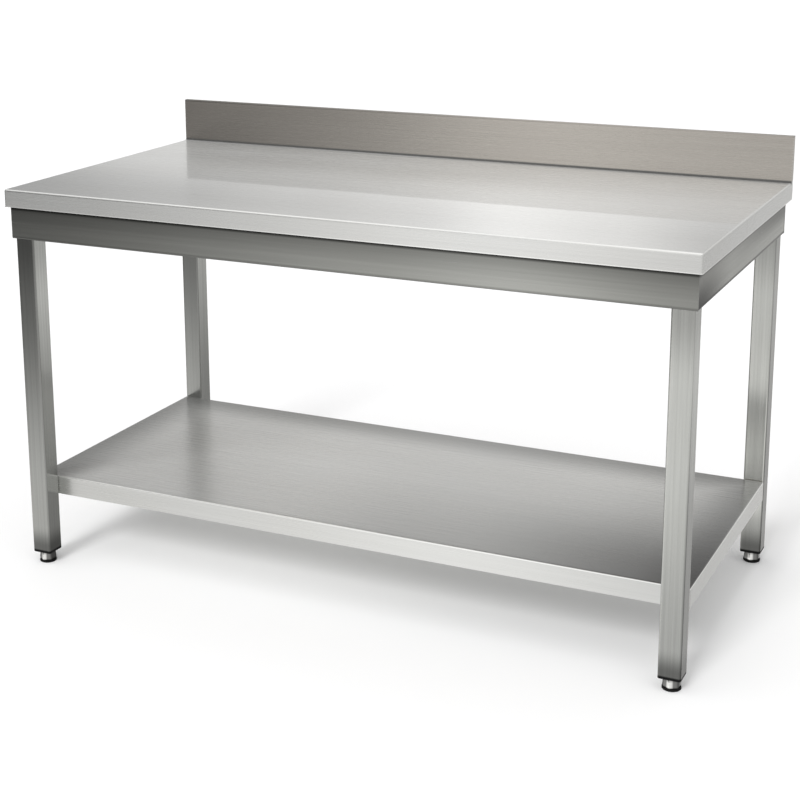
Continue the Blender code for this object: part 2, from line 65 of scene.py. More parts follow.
for leg_name, sx, sy in (
    ("front_left", -1, -1),
    ("front_right", 1, -1),
    ("rear_left", -1, 1),
    ("rear_right", 1, 1),
):
    lo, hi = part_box("leg_" + leg_name)
    LEGS[leg_name] = ((lo.x + hi.x) / 2, (lo.y + hi.y) / 2, sx, sy)
LEG_BOTTOM, LEG_TOP = lo.z, hi.z
shelf_lo, shelf_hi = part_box("shelf_tray")
SHELF_SHEET, SHELF_LIP = 0.0012, 0.012
pad_lo, pad_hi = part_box("foot_pad_front_left")
PAD_RADIUS, PAD_HEIGHT = (pad_hi.x - pad_lo.x) / 2, pad_hi.z
plug_lo, plug_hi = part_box("leg_plug_front_left")
PLUG_LOW = plug_lo.z
STUD_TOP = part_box("foot_screw_front_left")[1].z
FOOT_FLATS = 0.032


# ----------------------------------------------------------------- materials
class Tree:
    """A short way to write shader nodes."""

    def __init__(self, owner):
        owner.use_nodes = True
        self.tree = owner.node_tree
        self.tree.nodes.clear()

    def node(self, kind, **settings):
        n = self.tree.nodes.new(kind)
        for k, v in settings.items():
            setattr(n, k, v)
        return n

    def link(self, a, b):
        self.tree.links.new(a, b)

    def put(self, socket, value):
        if hasattr(value, "is_output"):
            self.link(value, socket)
        else:
            socket.default_value = value

    def math(self, op, a, b=0.0, c=None, clamp=False):
        n = self.node("ShaderNodeMath", operation=op, use_clamp=clamp)
        self.put(n.inputs[0], a)
        self.put(n.inputs[1], b)
        if c is not None:
            self.put(n.inputs[2], c)
        return n.outputs[0]

    def remap(self, value, a, b, c, d, kind="SMOOTHSTEP"):
        n = self.node("ShaderNodeMapRange", interpolation_type=kind, clamp=True)
        self.put(n.inputs["Value"], value)
        for key, v in zip(("From Min", "From Max", "To Min", "To Max"), (a, b, c, d)):
            self.put(n.inputs[key], v)
        return n.outputs[0]

    def noise(self, vector, scale, detail=2.0, rough=0.5):
        """vector is scaled by the triple scale, in cycles per metre."""
        m = self.node("ShaderNodeMapping")
        self.link(vector, m.inputs["Vector"])
        m.inputs["Scale"].default_value = scale
        n = self.node("ShaderNodeTexNoise")
        self.link(m.outputs[0], n.inputs["Vector"])
        n.inputs["Scale"].default_value = 1.0
        n.inputs["Detail"].default_value = detail
        n.inputs["Roughness"].default_value = rough
        return n.outputs[0]

    def scale_colour(self, colour, factor):
        n = self.node("ShaderNodeVectorMath", operation="SCALE")
        self.put(n.inputs[0], colour)
        self.put(n.inputs["Scale"], factor)
        return n.outputs[0]

    def blend(self, factor, a, b):
        n = self.node("ShaderNodeMix", data_type="RGBA")
        self.put(n.inputs[0], factor)
        self.put(n.inputs[6], a)
        self.put(n.inputs[7], b)
        return n.outputs[2]


def steel(
    name,
    colour,
    rough=0.30,
    grain="X",
    aniso=0.5,
    streak=0.10,
    fine=0.10,
    cloud=0.06,
    coat=0.0,
    coat_rough=0.05,
    bump=0.06,
    shade=None,
    tint=None,
    metal=None,
    edge=0.10,
    graze=None,
):
    """Brushed stainless: lines along the grain, slow clouds of tone, and edges painted lighter, partly as polish wear
    and partly as a painted highlight.
    """
    mat = bpy.data.materials.new(name)
    t = Tree(mat)
    place = t.node("ShaderNodeTexCoord").outputs["Object"]

    def along(length, width):
        """Cycles per metre: long along the grain, narrow across it."""
        return tuple(1 / length if a == grain else 1 / width for a in "XYZ")

    lines = t.noise(place, along(0.16, 0.0007), 3.0, 0.6)
    bands = t.noise(place, along(0.9, 0.0055), 2.0, 0.55)
    clouds = t.noise(place, (2.2, 2.6, 3.1), 3.0, 0.5)
    tone = t.math("MULTIPLY_ADD", lines, 2 * fine, 1 - fine)
    tone = t.math(
        "MULTIPLY", tone, t.math("MULTIPLY_ADD", bands, 2 * streak, 1 - streak)
    )
    tone = t.math(
        "MULTIPLY", tone, t.math("MULTIPLY_ADD", clouds, 2 * cloud, 1 - cloud)
    )
    if shade:
        tone = t.math("MULTIPLY", tone, shade(t, place))
    # edges painted lighter by the bevel: partly polish wear, partly a painted highlight
    if edge:
        soft = t.node("ShaderNodeBevel", samples=4)
        soft.inputs["Radius"].default_value = 0.0016
        geo = t.node("ShaderNodeNewGeometry")
        dot = t.node("ShaderNodeVectorMath", operation="DOT_PRODUCT")
        t.link(soft.outputs[0], dot.inputs[0])
        t.link(geo.outputs["Normal"], dot.inputs[1])
        edge_wear_and_highlight = t.remap(dot.outputs["Value"], 0.999, 0.90, 0.0, 1.0, "LINEAR")
        edge_wear_and_highlight = t.math("MULTIPLY", edge_wear_and_highlight, t.math("MULTIPLY_ADD", bands, 0.8, 0.6))
        tone = t.math("MULTIPLY_ADD", t.math("MULTIPLY", edge_wear_and_highlight, edge), tone, tone)
    p = t.node("ShaderNodeBsdfPrincipled")
    warm = t.blend(
        clouds,
        (colour[0] * 1.012, colour[1], colour[2] * 0.985, 1),
        (colour[0] * 0.99, colour[1], colour[2] * 1.012, 1),
    )
    if tint:
        where, other = tint(t, place)
        warm = t.blend(where, warm, (*other, 1))
    t.link(t.scale_colour(warm, tone), p.inputs["Base Color"])
    p.inputs["Metallic"].default_value = 1.0
    if graze:
        p.inputs["Specular Tint"].default_value = (graze, graze, graze, 1)
    if metal:
        t.link(metal(t, place), p.inputs["Metallic"])
    r = t.math("MULTIPLY_ADD", lines, 0.10, rough - 0.05)
    r = t.math("MULTIPLY_ADD", clouds, 0.06, t.math("SUBTRACT", r, 0.03))
    t.link(r, p.inputs["Roughness"])
    p.inputs["Anisotropic"].default_value = aniso
    p.inputs["Anisotropic Rotation"].default_value = 0.25
    way = t.node("ShaderNodeCombineXYZ")
    for i, a in enumerate("XYZ"):
        way.inputs[i].default_value = 1.0 if a == grain else 0.0
    t.link(way.outputs[0], p.inputs["Tangent"])
    if coat:
        if callable(coat):
            t.link(coat(t, place), p.inputs["Coat Weight"])
        else:
            p.inputs["Coat Weight"].default_value = coat
        p.inputs["Coat Roughness"].default_value = coat_rough
        p.inputs["Coat IOR"].default_value = 1.5
    if bump:
        b = t.node("ShaderNodeBump")
        b.inputs["Strength"].default_value = bump
        b.inputs["Distance"].default_value = 0.00015
        t.link(lines, b.inputs["Height"])
        t.link(b.outputs[0], p.inputs["Normal"])
    out = t.node("ShaderNodeOutputMaterial")
    t.link(p.outputs[0], out.inputs[0])
    return mat


def moulded(name, colour, rough, grit=0.0006, bump=0.25, spread=0.25):
    """Moulded plastic or rubber: a fine grit, with slow changes in its sheen."""
    mat = bpy.data.materials.new(name)
    t = Tree(mat)
    place = t.node("ShaderNodeTexCoord").outputs["Object"]
    grain = t.noise(place, (1 / grit,) * 3, 2.0, 0.6)
    slow = t.noise(place, (60, 60, 60), 3.0, 0.5)
    p = t.node("ShaderNodeBsdfPrincipled")
    tone = t.math("MULTIPLY_ADD", slow, 2 * spread, 1 - spread)
    tone = t.math("MULTIPLY_ADD", grain, 0.2, t.math("SUBTRACT", tone, 0.1))
    c = t.node("ShaderNodeRGB")
    c.outputs[0].default_value = (*colour, 1)
    t.link(t.scale_colour(c.outputs[0], tone), p.inputs["Base Color"])
    t.link(t.math("MULTIPLY_ADD", slow, 0.2, rough - 0.1), p.inputs["Roughness"])
    p.inputs["Specular IOR Level"].default_value = 0.12
    b = t.node("ShaderNodeBump")
    b.inputs["Strength"].default_value = bump
    b.inputs["Distance"].default_value = 0.0001
    t.link(grain, b.inputs["Height"])
    t.link(b.outputs[0], p.inputs["Normal"])
    out = t.node("ShaderNodeOutputMaterial")
    t.link(p.outputs[0], out.inputs[0])
    return mat


def zinc_plate(name, colour=(0.56, 0.57, 0.60), rough=0.32):
    """Bright zinc plate: small spangles of tone, a faint yellow passivation in patches."""
    mat = bpy.data.materials.new(name)
    t = Tree(mat)
    place = t.node("ShaderNodeTexCoord").outputs["Object"]
    cells = t.node("ShaderNodeTexVoronoi", feature="F1")
    m = t.node("ShaderNodeMapping")
    t.link(place, m.inputs["Vector"])
    m.inputs["Scale"].default_value = (420, 420, 420)
    t.link(m.outputs[0], cells.inputs["Vector"])
    cells.inputs["Scale"].default_value = 1.0
    patch = t.noise(place, (35, 35, 35), 3.0, 0.6)
    sep = t.node("ShaderNodeSeparateColor")
    t.link(cells.outputs["Color"], sep.inputs[0])
    tone = t.math("MULTIPLY_ADD", sep.outputs[0], 0.16, 0.92)
    c = t.blend(
        t.remap(patch, 0.45, 0.75, 0.0, 0.5),
        (*colour, 1),
        (colour[0] * 1.02, colour[1] * 0.97, colour[2] * 0.82, 1),
    )
    p = t.node("ShaderNodeBsdfPrincipled")
    t.link(t.scale_colour(c, tone), p.inputs["Base Color"])
    p.inputs["Metallic"].default_value = 1.0
    t.link(
        t.math("MULTIPLY_ADD", sep.outputs[1], 0.12, rough - 0.04),
        p.inputs["Roughness"],
    )
    b = t.node("ShaderNodeBump")
    b.inputs["Strength"].default_value = 0.15
    b.inputs["Distance"].default_value = 0.0001
    t.link(patch, b.inputs["Height"])
    t.link(b.outputs[0], p.inputs["Normal"])
    out = t.node("ShaderNodeOutputMaterial")
    t.link(p.outputs[0], out.inputs[0])
    return mat


def chip_board(name):
    """Particle board: pressed chips of several browns, with darker pits."""
    mat = bpy.data.materials.new(name)
    t = Tree(mat)
    place = t.node("ShaderNodeTexCoord").outputs["Object"]
    m = t.node("ShaderNodeMapping")
    t.link(place, m.inputs["Vector"])
    m.inputs["Scale"].default_value = (220, 300, 420)
    cells = t.node("ShaderNodeTexVoronoi", feature="F1")
    cells.inputs["Scale"].default_value = 1.0
    t.link(m.outputs[0], cells.inputs["Vector"])
    sep = t.node("ShaderNodeSeparateColor")
    t.link(cells.outputs["Color"], sep.inputs[0])
    dust = t.noise(place, (900, 900, 900), 2.0, 0.6)
    c = t.blend(sep.outputs[0], (0.20, 0.155, 0.11, 1), (0.36, 0.29, 0.21, 1))
    tone = t.math("MULTIPLY_ADD", dust, 0.35, 0.80)
    p = t.node("ShaderNodeBsdfPrincipled")
    t.link(t.scale_colour(c, tone), p.inputs["Base Color"])
    t.link(t.math("MULTIPLY_ADD", dust, 0.2, 0.65), p.inputs["Roughness"])
    b = t.node("ShaderNodeBump")
    b.inputs["Strength"].default_value = 0.5
    b.inputs["Distance"].default_value = 0.0005
    t.link(sep.outputs[0], b.inputs["Height"])
    t.link(b.outputs[0], p.inputs["Normal"])
    out = t.node("ShaderNodeOutputMaterial")
    t.link(p.outputs[0], out.inputs[0])
    return mat


def height(t, place):
    xyz = t.node("ShaderNodeSeparateXYZ")
    t.link(place, xyz.inputs[0])
    return xyz.outputs


def top_painted_light(t, place):
    """Painted light on the worktop: a painted shade line in the inner bend under the upstand, painted highlights on the
    folds, the flat painted lighter towards the rear, and painted shade on the upstand.
    """
    x, y, z = height(t, place)
    # painted shade line in the inner bend under the upstand
    dy = t.math("ABSOLUTE", t.math("SUBTRACT", y, UPSTAND_FACE - 0.0008))
    dz = t.math("ABSOLUTE", t.math("SUBTRACT", z, WORK_HEIGHT + 0.0008))
    away = t.math("MAXIMUM", dy, dz)
    line = t.remap(away, 0.0014, 0.0050, 0.13, 1.0)
    # painted highlights along the folded edge's bend and along its lower rim; the flat is painted lighter towards the
    # rear, more on the left
    flat = t.math("MULTIPLY_ADD", t.remap(y, -0.30, 0.10, 0.0, 1.0), t.remap(x, -0.75, 0.75, 0.50, 0.28), 0.84)
    off = t.math("SUBTRACT", WORK_HEIGHT, z)
    flat = t.math("MULTIPLY_ADD", t.remap(off, 0.0002, 0.0010, 1.0, 0.0), t.math("SUBTRACT", flat, 1.0), 1.0)
    near = t.math("ABSOLUTE", t.math("SUBTRACT", off, 0.0022))
    bend = t.remap(near, 0.0006, 0.0024, 1.04, 1.0)
    lower = t.remap(z, SKIRT_BOTTOM + 0.0010, SKIRT_BOTTOM + 0.0026, 1.30, 1.0)
    line = t.math("MULTIPLY", t.math("MULTIPLY", line, flat), t.math("MULTIPLY", bend, lower))
    # painted shade: the upstand is darker to the left, and darker along its head's bend
    stands = t.remap(z, WORK_HEIGHT + 0.002, WORK_HEIGHT + 0.005, 0.0, 1.0)
    left = t.math("MULTIPLY", t.remap(x, -0.90, 0.10, 0.55, 1.0), t.remap(x, -0.30, 0.30, 0.70, 1.0))
    head = t.remap(z, TOTAL_HEIGHT - 0.0042, TOTAL_HEIGHT - 0.0022, 1.0, 0.60)
    tone = t.math("MULTIPLY", left, head)
    tone = t.math("MULTIPLY_ADD", stands, t.math("SUBTRACT", tone, 1.0), 1.0)
    return t.math("MULTIPLY", line, tone)


def top_metal(t, place):
    """The flat of the worktop is finely scratched in all directions, so a part of it scatters evenly."""
    x, y, z = height(t, place)
    off = t.math("ABSOLUTE", t.math("SUBTRACT", z, WORK_HEIGHT))
    # the strip along the upstand is hard to reach and is polished less, mostly on the left
    back = t.math("MULTIPLY", t.remap(y, 0.14, 0.25, 0.0, 1.0), t.remap(x, -0.10, 0.70, 1.0, 0.1))
    mask = t.math("MULTIPLY_ADD", back, -0.11, 0.60)
    flat = t.remap(off, 0.0002, 0.0010, 1.0, 0.0)
    return t.math("MULTIPLY_ADD", flat, t.math("SUBTRACT", mask, 1.0), 1.0)


def top_coat(t, place):
    """Only the flat of the worktop is polished enough to mirror the upstand."""
    x, y, z = height(t, place)
    off = t.math("ABSOLUTE", t.math("SUBTRACT", z, WORK_HEIGHT))
    return t.remap(off, 0.0002, 0.0010, 0.60, 0.0)


def shelf_metal(t, place):
    """The shelf's flat is scratched in all directions too."""
    x, y, z = height(t, place)
    return t.remap(t.math("SUBTRACT", shelf_hi.z, z), 0.0002, 0.0012, 0.60, 1.0)


def upstand_shade_tint(t, place):
    """The upstand is painted darker and warmer than the top: painted shade, with a warmer tone."""
    x, y, z = height(t, place)
    return t.remap(z, WORK_HEIGHT + 0.002, WORK_HEIGHT + 0.005, 0.0, 1.0), (0.435, 0.410, 0.380)


def rail_painted_shade(t, place):
    """Painted shade on the rails under the folded edge, with a dark painted shade line just beneath it; the rails are
    also darker along the bottom and towards the left.
    """
    x, y, z = height(t, place)
    tone = t.remap(z, SKIRT_BOTTOM, SKIRT_BOTTOM - 0.060, 0.60, 1.0)
    line = t.remap(z, SKIRT_BOTTOM - 0.0045, SKIRT_BOTTOM - 0.0105, 0.20, 1.0)
    foot = t.remap(z, RAIL_BOTTOM + 0.0035, RAIL_BOTTOM + 0.0070, 0.70, 1.0)
    # a soft painted highlight, left of the right-hand corner
    left = t.remap(x, -0.80, 0.10, 0.62, 1.0)
    off = t.math("ABSOLUTE", t.math("SUBTRACT", x, 0.42))
    left = t.math("MULTIPLY", left, t.remap(off, 0.0, 0.30, 1.16, 0.96))
    tone = t.math("MULTIPLY", tone, left)
    return t.math("MULTIPLY", tone, t.math("MULTIPLY", line, foot))


def rail_shade_side(t, place):
    """The side rails are painted darker towards the front and bottom and at the rear end as painted shade, with a
    painted sheen on their upper part that is lighter at the front.
    """
    x, y, z = height(t, place)
    low = t.remap(z, RAIL_BOTTOM, RAIL_TOP - 0.005, 0.05, 0.8)
    near = t.remap(y, -0.37, -0.10, 0.0, 1.0)
    near = t.math("MULTIPLY_ADD", near, t.math("SUBTRACT", 1.0, low), low)
    end = t.remap(y, RAIL_Y1 - 0.004, RAIL_Y1 - 0.009, 0.35, 1.0)
    up = t.remap(z, RAIL_BOTTOM + 0.020, SKIRT_BOTTOM - 0.015, 0.0, 1.0)
    painted_sheen = t.math("SUBTRACT", t.remap(y, -0.25, 0.33, 1.40, 0.60), 1.0)
    painted_sheen = t.math("MULTIPLY_ADD", up, painted_sheen, 1.0)
    tone = t.math("MULTIPLY", rail_painted_shade(t, place), t.math("MULTIPLY", near, end))
    # painted shade lines under the folded edge and along the rail's lower bend
    upper = t.remap(z, SKIRT_BOTTOM - 0.0030, SKIRT_BOTTOM - 0.0130, 0.12, 1.0)
    lower = t.remap(z, RAIL_BOTTOM + 0.0030, RAIL_BOTTOM + 0.0095, 0.40, 1.0)
    tone = t.math("MULTIPLY", tone, t.math("MULTIPLY", upper, lower))
    return t.math("MULTIPLY", tone, painted_sheen)


def shelf_shade(t, place):
    """The shelf's top is painted with shade, darker along its borders, in the front right quarter and in the middle;
    its folded edges get a painted highlight.
    """
    x, y, z = height(t, place)
    flat = t.remap(z, shelf_hi.z - 0.0022, shelf_hi.z - 0.0008, 0.0, 1.0)
    side = t.math("SUBTRACT", shelf_hi.x, t.math("ABSOLUTE", x))
    mid = (shelf_lo.y + shelf_hi.y) / 2
    reach = (shelf_hi.y - shelf_lo.y) / 2
    front = t.math("SUBTRACT", y, shelf_lo.y)
    border = t.math("MINIMUM", side, t.math("SUBTRACT", shelf_hi.y, y))
    border = t.math("MULTIPLY", t.remap(border, 0.002, 0.13, 0.44, 1.0), t.remap(front, 0.002, 0.02, 0.9, 1.0))
    # painted shade: the front right quarter is the darkest
    u = t.math("DIVIDE", x, shelf_hi.x)
    v = t.math("DIVIDE", t.math("SUBTRACT", y, mid), reach)
    near = t.remap(v, 0.9, -0.9, 0.0, 1.0)
    used = t.remap(u, -0.2, 0.95, 1.12, 0.22)
    used = t.math("MULTIPLY_ADD", near, t.math("SUBTRACT", used, 1.15), 1.15)
    off = t.math("ABSOLUTE", t.math("SUBTRACT", u, 0.2))
    used = t.math("MULTIPLY", used, t.remap(off, 0.0, 0.6, 0.68, 0.92))
    shade_tone = t.math("MULTIPLY", t.math("MULTIPLY", border, used), 0.80)
    tone = t.math("MULTIPLY_ADD", flat, t.math("SUBTRACT", shade_tone, 1.0), 1.0)
    # painted highlight along the folded top edges, strongest at the right edge
    near = t.math("ABSOLUTE", t.math("SUBTRACT", t.math("SUBTRACT", shelf_hi.z, z), 0.0018))
    edge_highlight = t.math("MULTIPLY_ADD", t.remap(x, shelf_hi.x - 0.006, shelf_hi.x - 0.002, 0.0, 1.0), 1.6, 1.7)
    lit = t.remap(near, 0.0008, 0.0020, 1.0, 0.0)
    edge_highlight = t.math("MULTIPLY_ADD", lit, t.math("SUBTRACT", edge_highlight, 1.0), 1.0)
    return t.math("MINIMUM", t.math("MULTIPLY", tone, edge_highlight), 1.38)


def leg_shade(t, place):
    """The tubes are painted darker at both ends as painted shade, and each face gets its own painted light and shade
    along its length.
    """
    x, y, z = height(t, place)
    low = t.math(
        "MULTIPLY", t.remap(z, 0.040, 0.090, 0.36, 1.0), t.remap(z, 0.0305, 0.0330, 0.30, 1.0)
    )
    high = t.remap(z, 0.74, 0.60, 0.66, 1.0)
    side = t.remap(x, -0.72, 0.4, 0.76, 1.0)
    right = t.remap(x, -0.2, 0.2, 0.0, 1.0)
    face = t.node("ShaderNodeSeparateXYZ")
    t.link(t.node("ShaderNodeNewGeometry").outputs["Normal"], face.inputs[0])
    ahead = t.math("MULTIPLY", face.outputs[1], -1.0, clamp=True)
    east = t.math("MULTIPLY", face.outputs[0], 1.0, clamp=True)

    def mix(f, a, b):
        return t.math("MULTIPLY_ADD", f, t.math("SUBTRACT", b, a), a)

    # painted light and shade for each face of the left, right, front and rear legs, by height
    front_left = t.remap(z, 0.62, 0.18, 0.44, 0.86)
    front_right = t.remap(z, 0.48, 0.08, 1.0, 0.70)
    east_left = t.remap(z, 0.70, 0.20, 1.15, 0.82)
    east_right = t.math("MULTIPLY", t.remap(z, 0.72, 0.18, 1.15, 0.42), t.remap(y, -0.1, 0.1, 1.0, 0.58))
    rear = t.remap(y, -0.1, 0.1, 0.0, 1.0)
    rear_right = t.math("MULTIPLY", t.remap(z, 0.55, 0.24, 1.0, 1.48), t.remap(z, 0.19, 0.07, 1.0, 0.42))
    front_right = mix(rear, front_right, rear_right)
    tone = mix(ahead, 1.0, mix(right, front_left, front_right))
    tone = t.math("MULTIPLY", tone, mix(east, 1.0, mix(right, east_left, east_right)))
    ends = t.math("MULTIPLY", low, high)
    return t.math("MULTIPLY", tone, t.math("MULTIPLY", side, ends))


def foot_shade(t, place):
    """Painted shade darkens the foot's crown under the plug and the rim at its pad; the front of its hexagon gets a
    painted highlight and its sides painted shade.
    """
    x, y, z = height(t, place)
    crown = t.remap(z, PLUG_LOW - 0.0010, PLUG_LOW - 0.0085, 0.30, 1.0)
    rim = t.remap(z, PAD_HEIGHT + 0.0005, PAD_HEIGHT + 0.0045, 0.45, 1.0)
    front, rear = LEGS["front_right"], LEGS["rear_right"]
    back = t.remap(y, -0.1, 0.1, front[1], rear[1])
    across = t.math("SUBTRACT", t.math("ABSOLUTE", x), abs(front[0]))
    along = t.math("SUBTRACT", y, back)
    reach = t.math("SQRT", t.math("ADD", t.math("MULTIPLY", across, across), t.math("MULTIPLY", along, along)))
    ahead = t.math("DIVIDE", t.math("MULTIPLY", along, -1.0), reach)
    # painted highlight on the front facets, painted shade on the sides
    facet = t.math("MULTIPLY", t.remap(ahead, 0.88, 0.985, 0.50, 2.0), t.remap(ahead, 0.45, 0.75, 0.35, 1.0))
    return t.math("MULTIPLY", facet, t.math("MULTIPLY", crown, rim))


M_TOP = steel("worktop_steel", (0.70, 0.705, 0.70), 0.27, "X", 0.5, streak=0.06, fine=0.06, cloud=0.05, bump=0.03, coat=top_coat, coat_rough=0.03, shade=top_painted_light, tint=upstand_shade_tint, metal=top_metal)
# the front and rear rails use a darker copy of the side rails' steel: painted shade under the worktop's overhang
M_RAIL = steel("rail_steel", (0.33, 0.335, 0.32), 0.25, "X", 0.5, streak=0.12, shade=rail_painted_shade)
M_RAIL_Y = steel("rail_steel_side", (0.69, 0.698, 0.67), 0.25, "Y", 0.5, streak=0.12, shade=rail_shade_side, graze=0.68)
M_LEG = steel("leg_steel", (0.62, 0.63, 0.61), 0.19, "Z", 0.35, streak=0.16, fine=0.12, shade=leg_shade)
M_SHELF = steel("shelf_steel", (0.705, 0.71, 0.70), 0.28, "X", 0.5, streak=0.07, fine=0.07, coat=0.15, coat_rough=0.06, shade=shelf_shade, metal=shelf_metal)
M_CHANNEL = steel("channel_steel", (0.50, 0.51, 0.50), 0.36, "X", 0.5)
M_CHANNEL_Y = steel("channel_steel_cross", (0.50, 0.51, 0.50), 0.36, "Y", 0.5)
M_FOOT = steel("foot_steel", (0.46, 0.46, 0.455), 0.16, "X", 0.0, streak=0.05, fine=0.05, bump=0.03, shade=foot_shade)
M_ZINC = zinc_plate("zinc")
M_PLASTIC = moulded("black_plastic", (0.004, 0.004, 0.0045), 0.55)
M_RUBBER = moulded("foot_rubber", (0.008, 0.008, 0.008), 0.70, grit=0.0009, bump=0.4)
M_BOARD = chip_board("board")


# -------------------------------------------------------------------- shapes
def block(x0, x1, y0, y1, z0, z1, bm=None):
    bm = bm or bmesh.new()
    for v in bmesh.ops.create_cube(bm, size=1)["verts"]:
        v.co.x = x0 if v.co.x < 0 else x1
        v.co.y = y0 if v.co.y < 0 else y1
        v.co.z = z0 if v.co.z < 0 else z1
    return bm


def prism(outline, axis, start, end, bm=None):
    """A closed outline of (u, v) points, run along an axis: u, v are Y, Z along X; X, Z along Y; X, Y along Z."""
    bm = bm or bmesh.new()

    def at(u, v, w):
        return {"X": (w, u, v), "Y": (u, w, v), "Z": (u, v, w)}[axis]

    low = [bm.verts.new(at(u, v, start)) for u, v in outline]
    high = [bm.verts.new(at(u, v, end)) for u, v in outline]
    bm.faces.new(low)
    bm.faces.new(high[::-1])
    count = len(outline)
    for i in range(count):
        j = (i + 1) % count
        bm.faces.new((low[j], low[i], high[i], high[j]))
    return bm


def folded(path, sheet, radius, steps=8):
    """The outline of a folded sheet: the path is its outer face, and the sheet lies to the path's left."""

    def side(offset):
        points = []
        for i, (x, y) in enumerate(path):
            if i in (0, len(path) - 1):
                j = 0 if i == 0 else len(path) - 2
                dx, dy = path[j + 1][0] - path[j][0], path[j + 1][1] - path[j][1]
                length = math.hypot(dx, dy)
                points.append((x - dy / length * offset, y + dx / length * offset))
                continue
            (ax, ay), (bx, by) = path[i - 1], path[i + 1]
            d0, d1 = (x - ax, y - ay), (bx - x, by - y)
            l0, l1 = math.hypot(*d0), math.hypot(*d1)
            d0, d1 = (d0[0] / l0, d0[1] / l0), (d1[0] / l1, d1[1] / l1)
            turn = d0[0] * d1[1] - d0[1] * d1[0]
            bend = math.atan2(turn, d0[0] * d1[0] + d0[1] * d1[1])
            r = radius if turn > 0 else radius - sheet
            set_back = r * math.tan(abs(bend) / 2)
            sign = 1 if turn > 0 else -1
            cx = x - d0[0] * set_back - d0[1] * r * sign
            cy = y - d0[1] * set_back + d0[0] * r * sign
            arm = r - sign * offset
            first = math.atan2(d0[0] * -sign, d0[1] * sign)
            for k in range(steps + 1):
                a = first + bend * k / steps
                points.append((cx + arm * math.cos(a), cy + arm * math.sin(a)))
        return points

    return side(0) + side(sheet)[::-1]


def rounded_square(cx, cy, half, radius, steps):
    points = []
    for px, py, start in ((1, 1, 0), (-1, 1, 90), (-1, -1, 180), (1, -1, 270)):
        for k in range(steps + 1):
            a = math.radians(start + 90 * k / steps)
            points.append(
                (
                    cx + px * (half - radius) + radius * math.cos(a),
                    cy + py * (half - radius) + radius * math.sin(a),
                )
            )
    return points


def regular(cx, cy, radius, sides, turn=0.0):
    return [
        (
            cx + radius * math.cos(turn + math.tau * k / sides),
            cy + radius * math.sin(turn + math.tau * k / sides),
        )
        for k in range(sides)
    ]


def ring(outer, inner, z0, z1, rim=0.0):
    """A wall between two outlines with the same number of points, open at both ends."""
    bm = bmesh.new()
    loops = [
        [bm.verts.new((x, y, z)) for x, y in line]
        for line, z in ((outer, z0), (outer, z1), (inner, z1), (inner, z0))
    ]
    count = len(outer)
    for a, b in ((0, 1), (1, 2), (2, 3), (3, 0)):
        for i in range(count):
            j = (i + 1) % count
            bm.faces.new((loops[a][i], loops[a][j], loops[b][j], loops[b][i]))
    return bm


def stack(sections, bm=None):
    """Outlines with equal point counts, joined one above another and closed at both ends."""
    bm = bm or bmesh.new()
    loops = [[bm.verts.new(p) for p in line] for line in sections]
    for low, high in zip(loops, loops[1:]):
        for i in range(len(low)):
            j = (i + 1) % len(low)
            bm.faces.new((low[i], low[j], high[j], high[i]))
    bm.faces.new(loops[0][::-1])
    bm.faces.new(loops[-1])
    return bm


def soft_edges(bm, chosen, radius, steps):
    bmesh.ops.bevel(
        bm,
        geom=[e for e in bm.edges if chosen(e)],
        offset=radius,
        offset_type="OFFSET",
        segments=steps,
        profile=0.5,
        affect="EDGES",
    )
    return bm


def upright(e):
    a, b = e.verts
    return abs(a.co.x - b.co.x) < 1e-6 and abs(a.co.y - b.co.y) < 1e-6


def loose(bm, name="guide"):
    """A bmesh as an object that is only used to shape another."""
    bmesh.ops.recalc_face_normals(bm, faces=bm.faces)
    mesh = bpy.data.meshes.new(name)
    bm.to_mesh(mesh)
    bm.free()
    ob = bpy.data.objects.new(name, mesh)
    bpy.context.scene.collection.objects.link(ob)
    return ob


def piece(
    name, bm, mat, body, stands_for=(), cut=(), add=(), smooth=32, rim=0.0003
):
    """Makes a shown piece: booleans are applied, sharp edges get a small round, and flat faces keep flat shading."""
    ob = loose(bm, name)
    guides = []
    for kind, items in (("DIFFERENCE", cut), ("UNION", add)):
        for item in items:
            g = loose(item)
            guides.append(g)
            m = ob.modifiers.new("shape", "BOOLEAN")
            m.operation, m.solver, m.object = kind, "EXACT", g
    if guides:
        bpy.context.view_layer.update()
        dg = bpy.context.evaluated_depsgraph_get()
        made = bpy.data.meshes.new_from_object(ob.evaluated_get(dg))
        ob.modifiers.clear()
        old = ob.data
        ob.data = made
        bpy.data.meshes.remove(old)
        for g in guides:
            bpy.data.objects.remove(g, do_unlink=True)
    made = bmesh.new()
    made.from_mesh(ob.data)
    bmesh.ops.remove_doubles(made, verts=made.verts, dist=0.000002)
    bmesh.ops.dissolve_degenerate(made, edges=made.edges, dist=0.000001)
    made.to_mesh(ob.data)
    made.free()
    ob.data.name = name
    ob.data.shade_smooth()
    ob.data.set_sharp_from_angle(angle=math.radians(smooth))
    if rim:
        b = ob.modifiers.new("rim", "BEVEL")
        b.width, b.segments = rim, 2
        b.limit_method, b.angle_limit = "ANGLE", math.radians(48)
        b.harden_normals = False
        b.use_clamp_overlap = True
    w = ob.modifiers.new("flat", "WEIGHTED_NORMAL")
    w.weight, w.keep_sharp = 60, True
    ob.data.materials.clear()
    ob.data.materials.append(mat)
    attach(ob, body)
    if stands_for:
        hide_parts(*([stands_for] if isinstance(stands_for, str) else stands_for))
    return ob


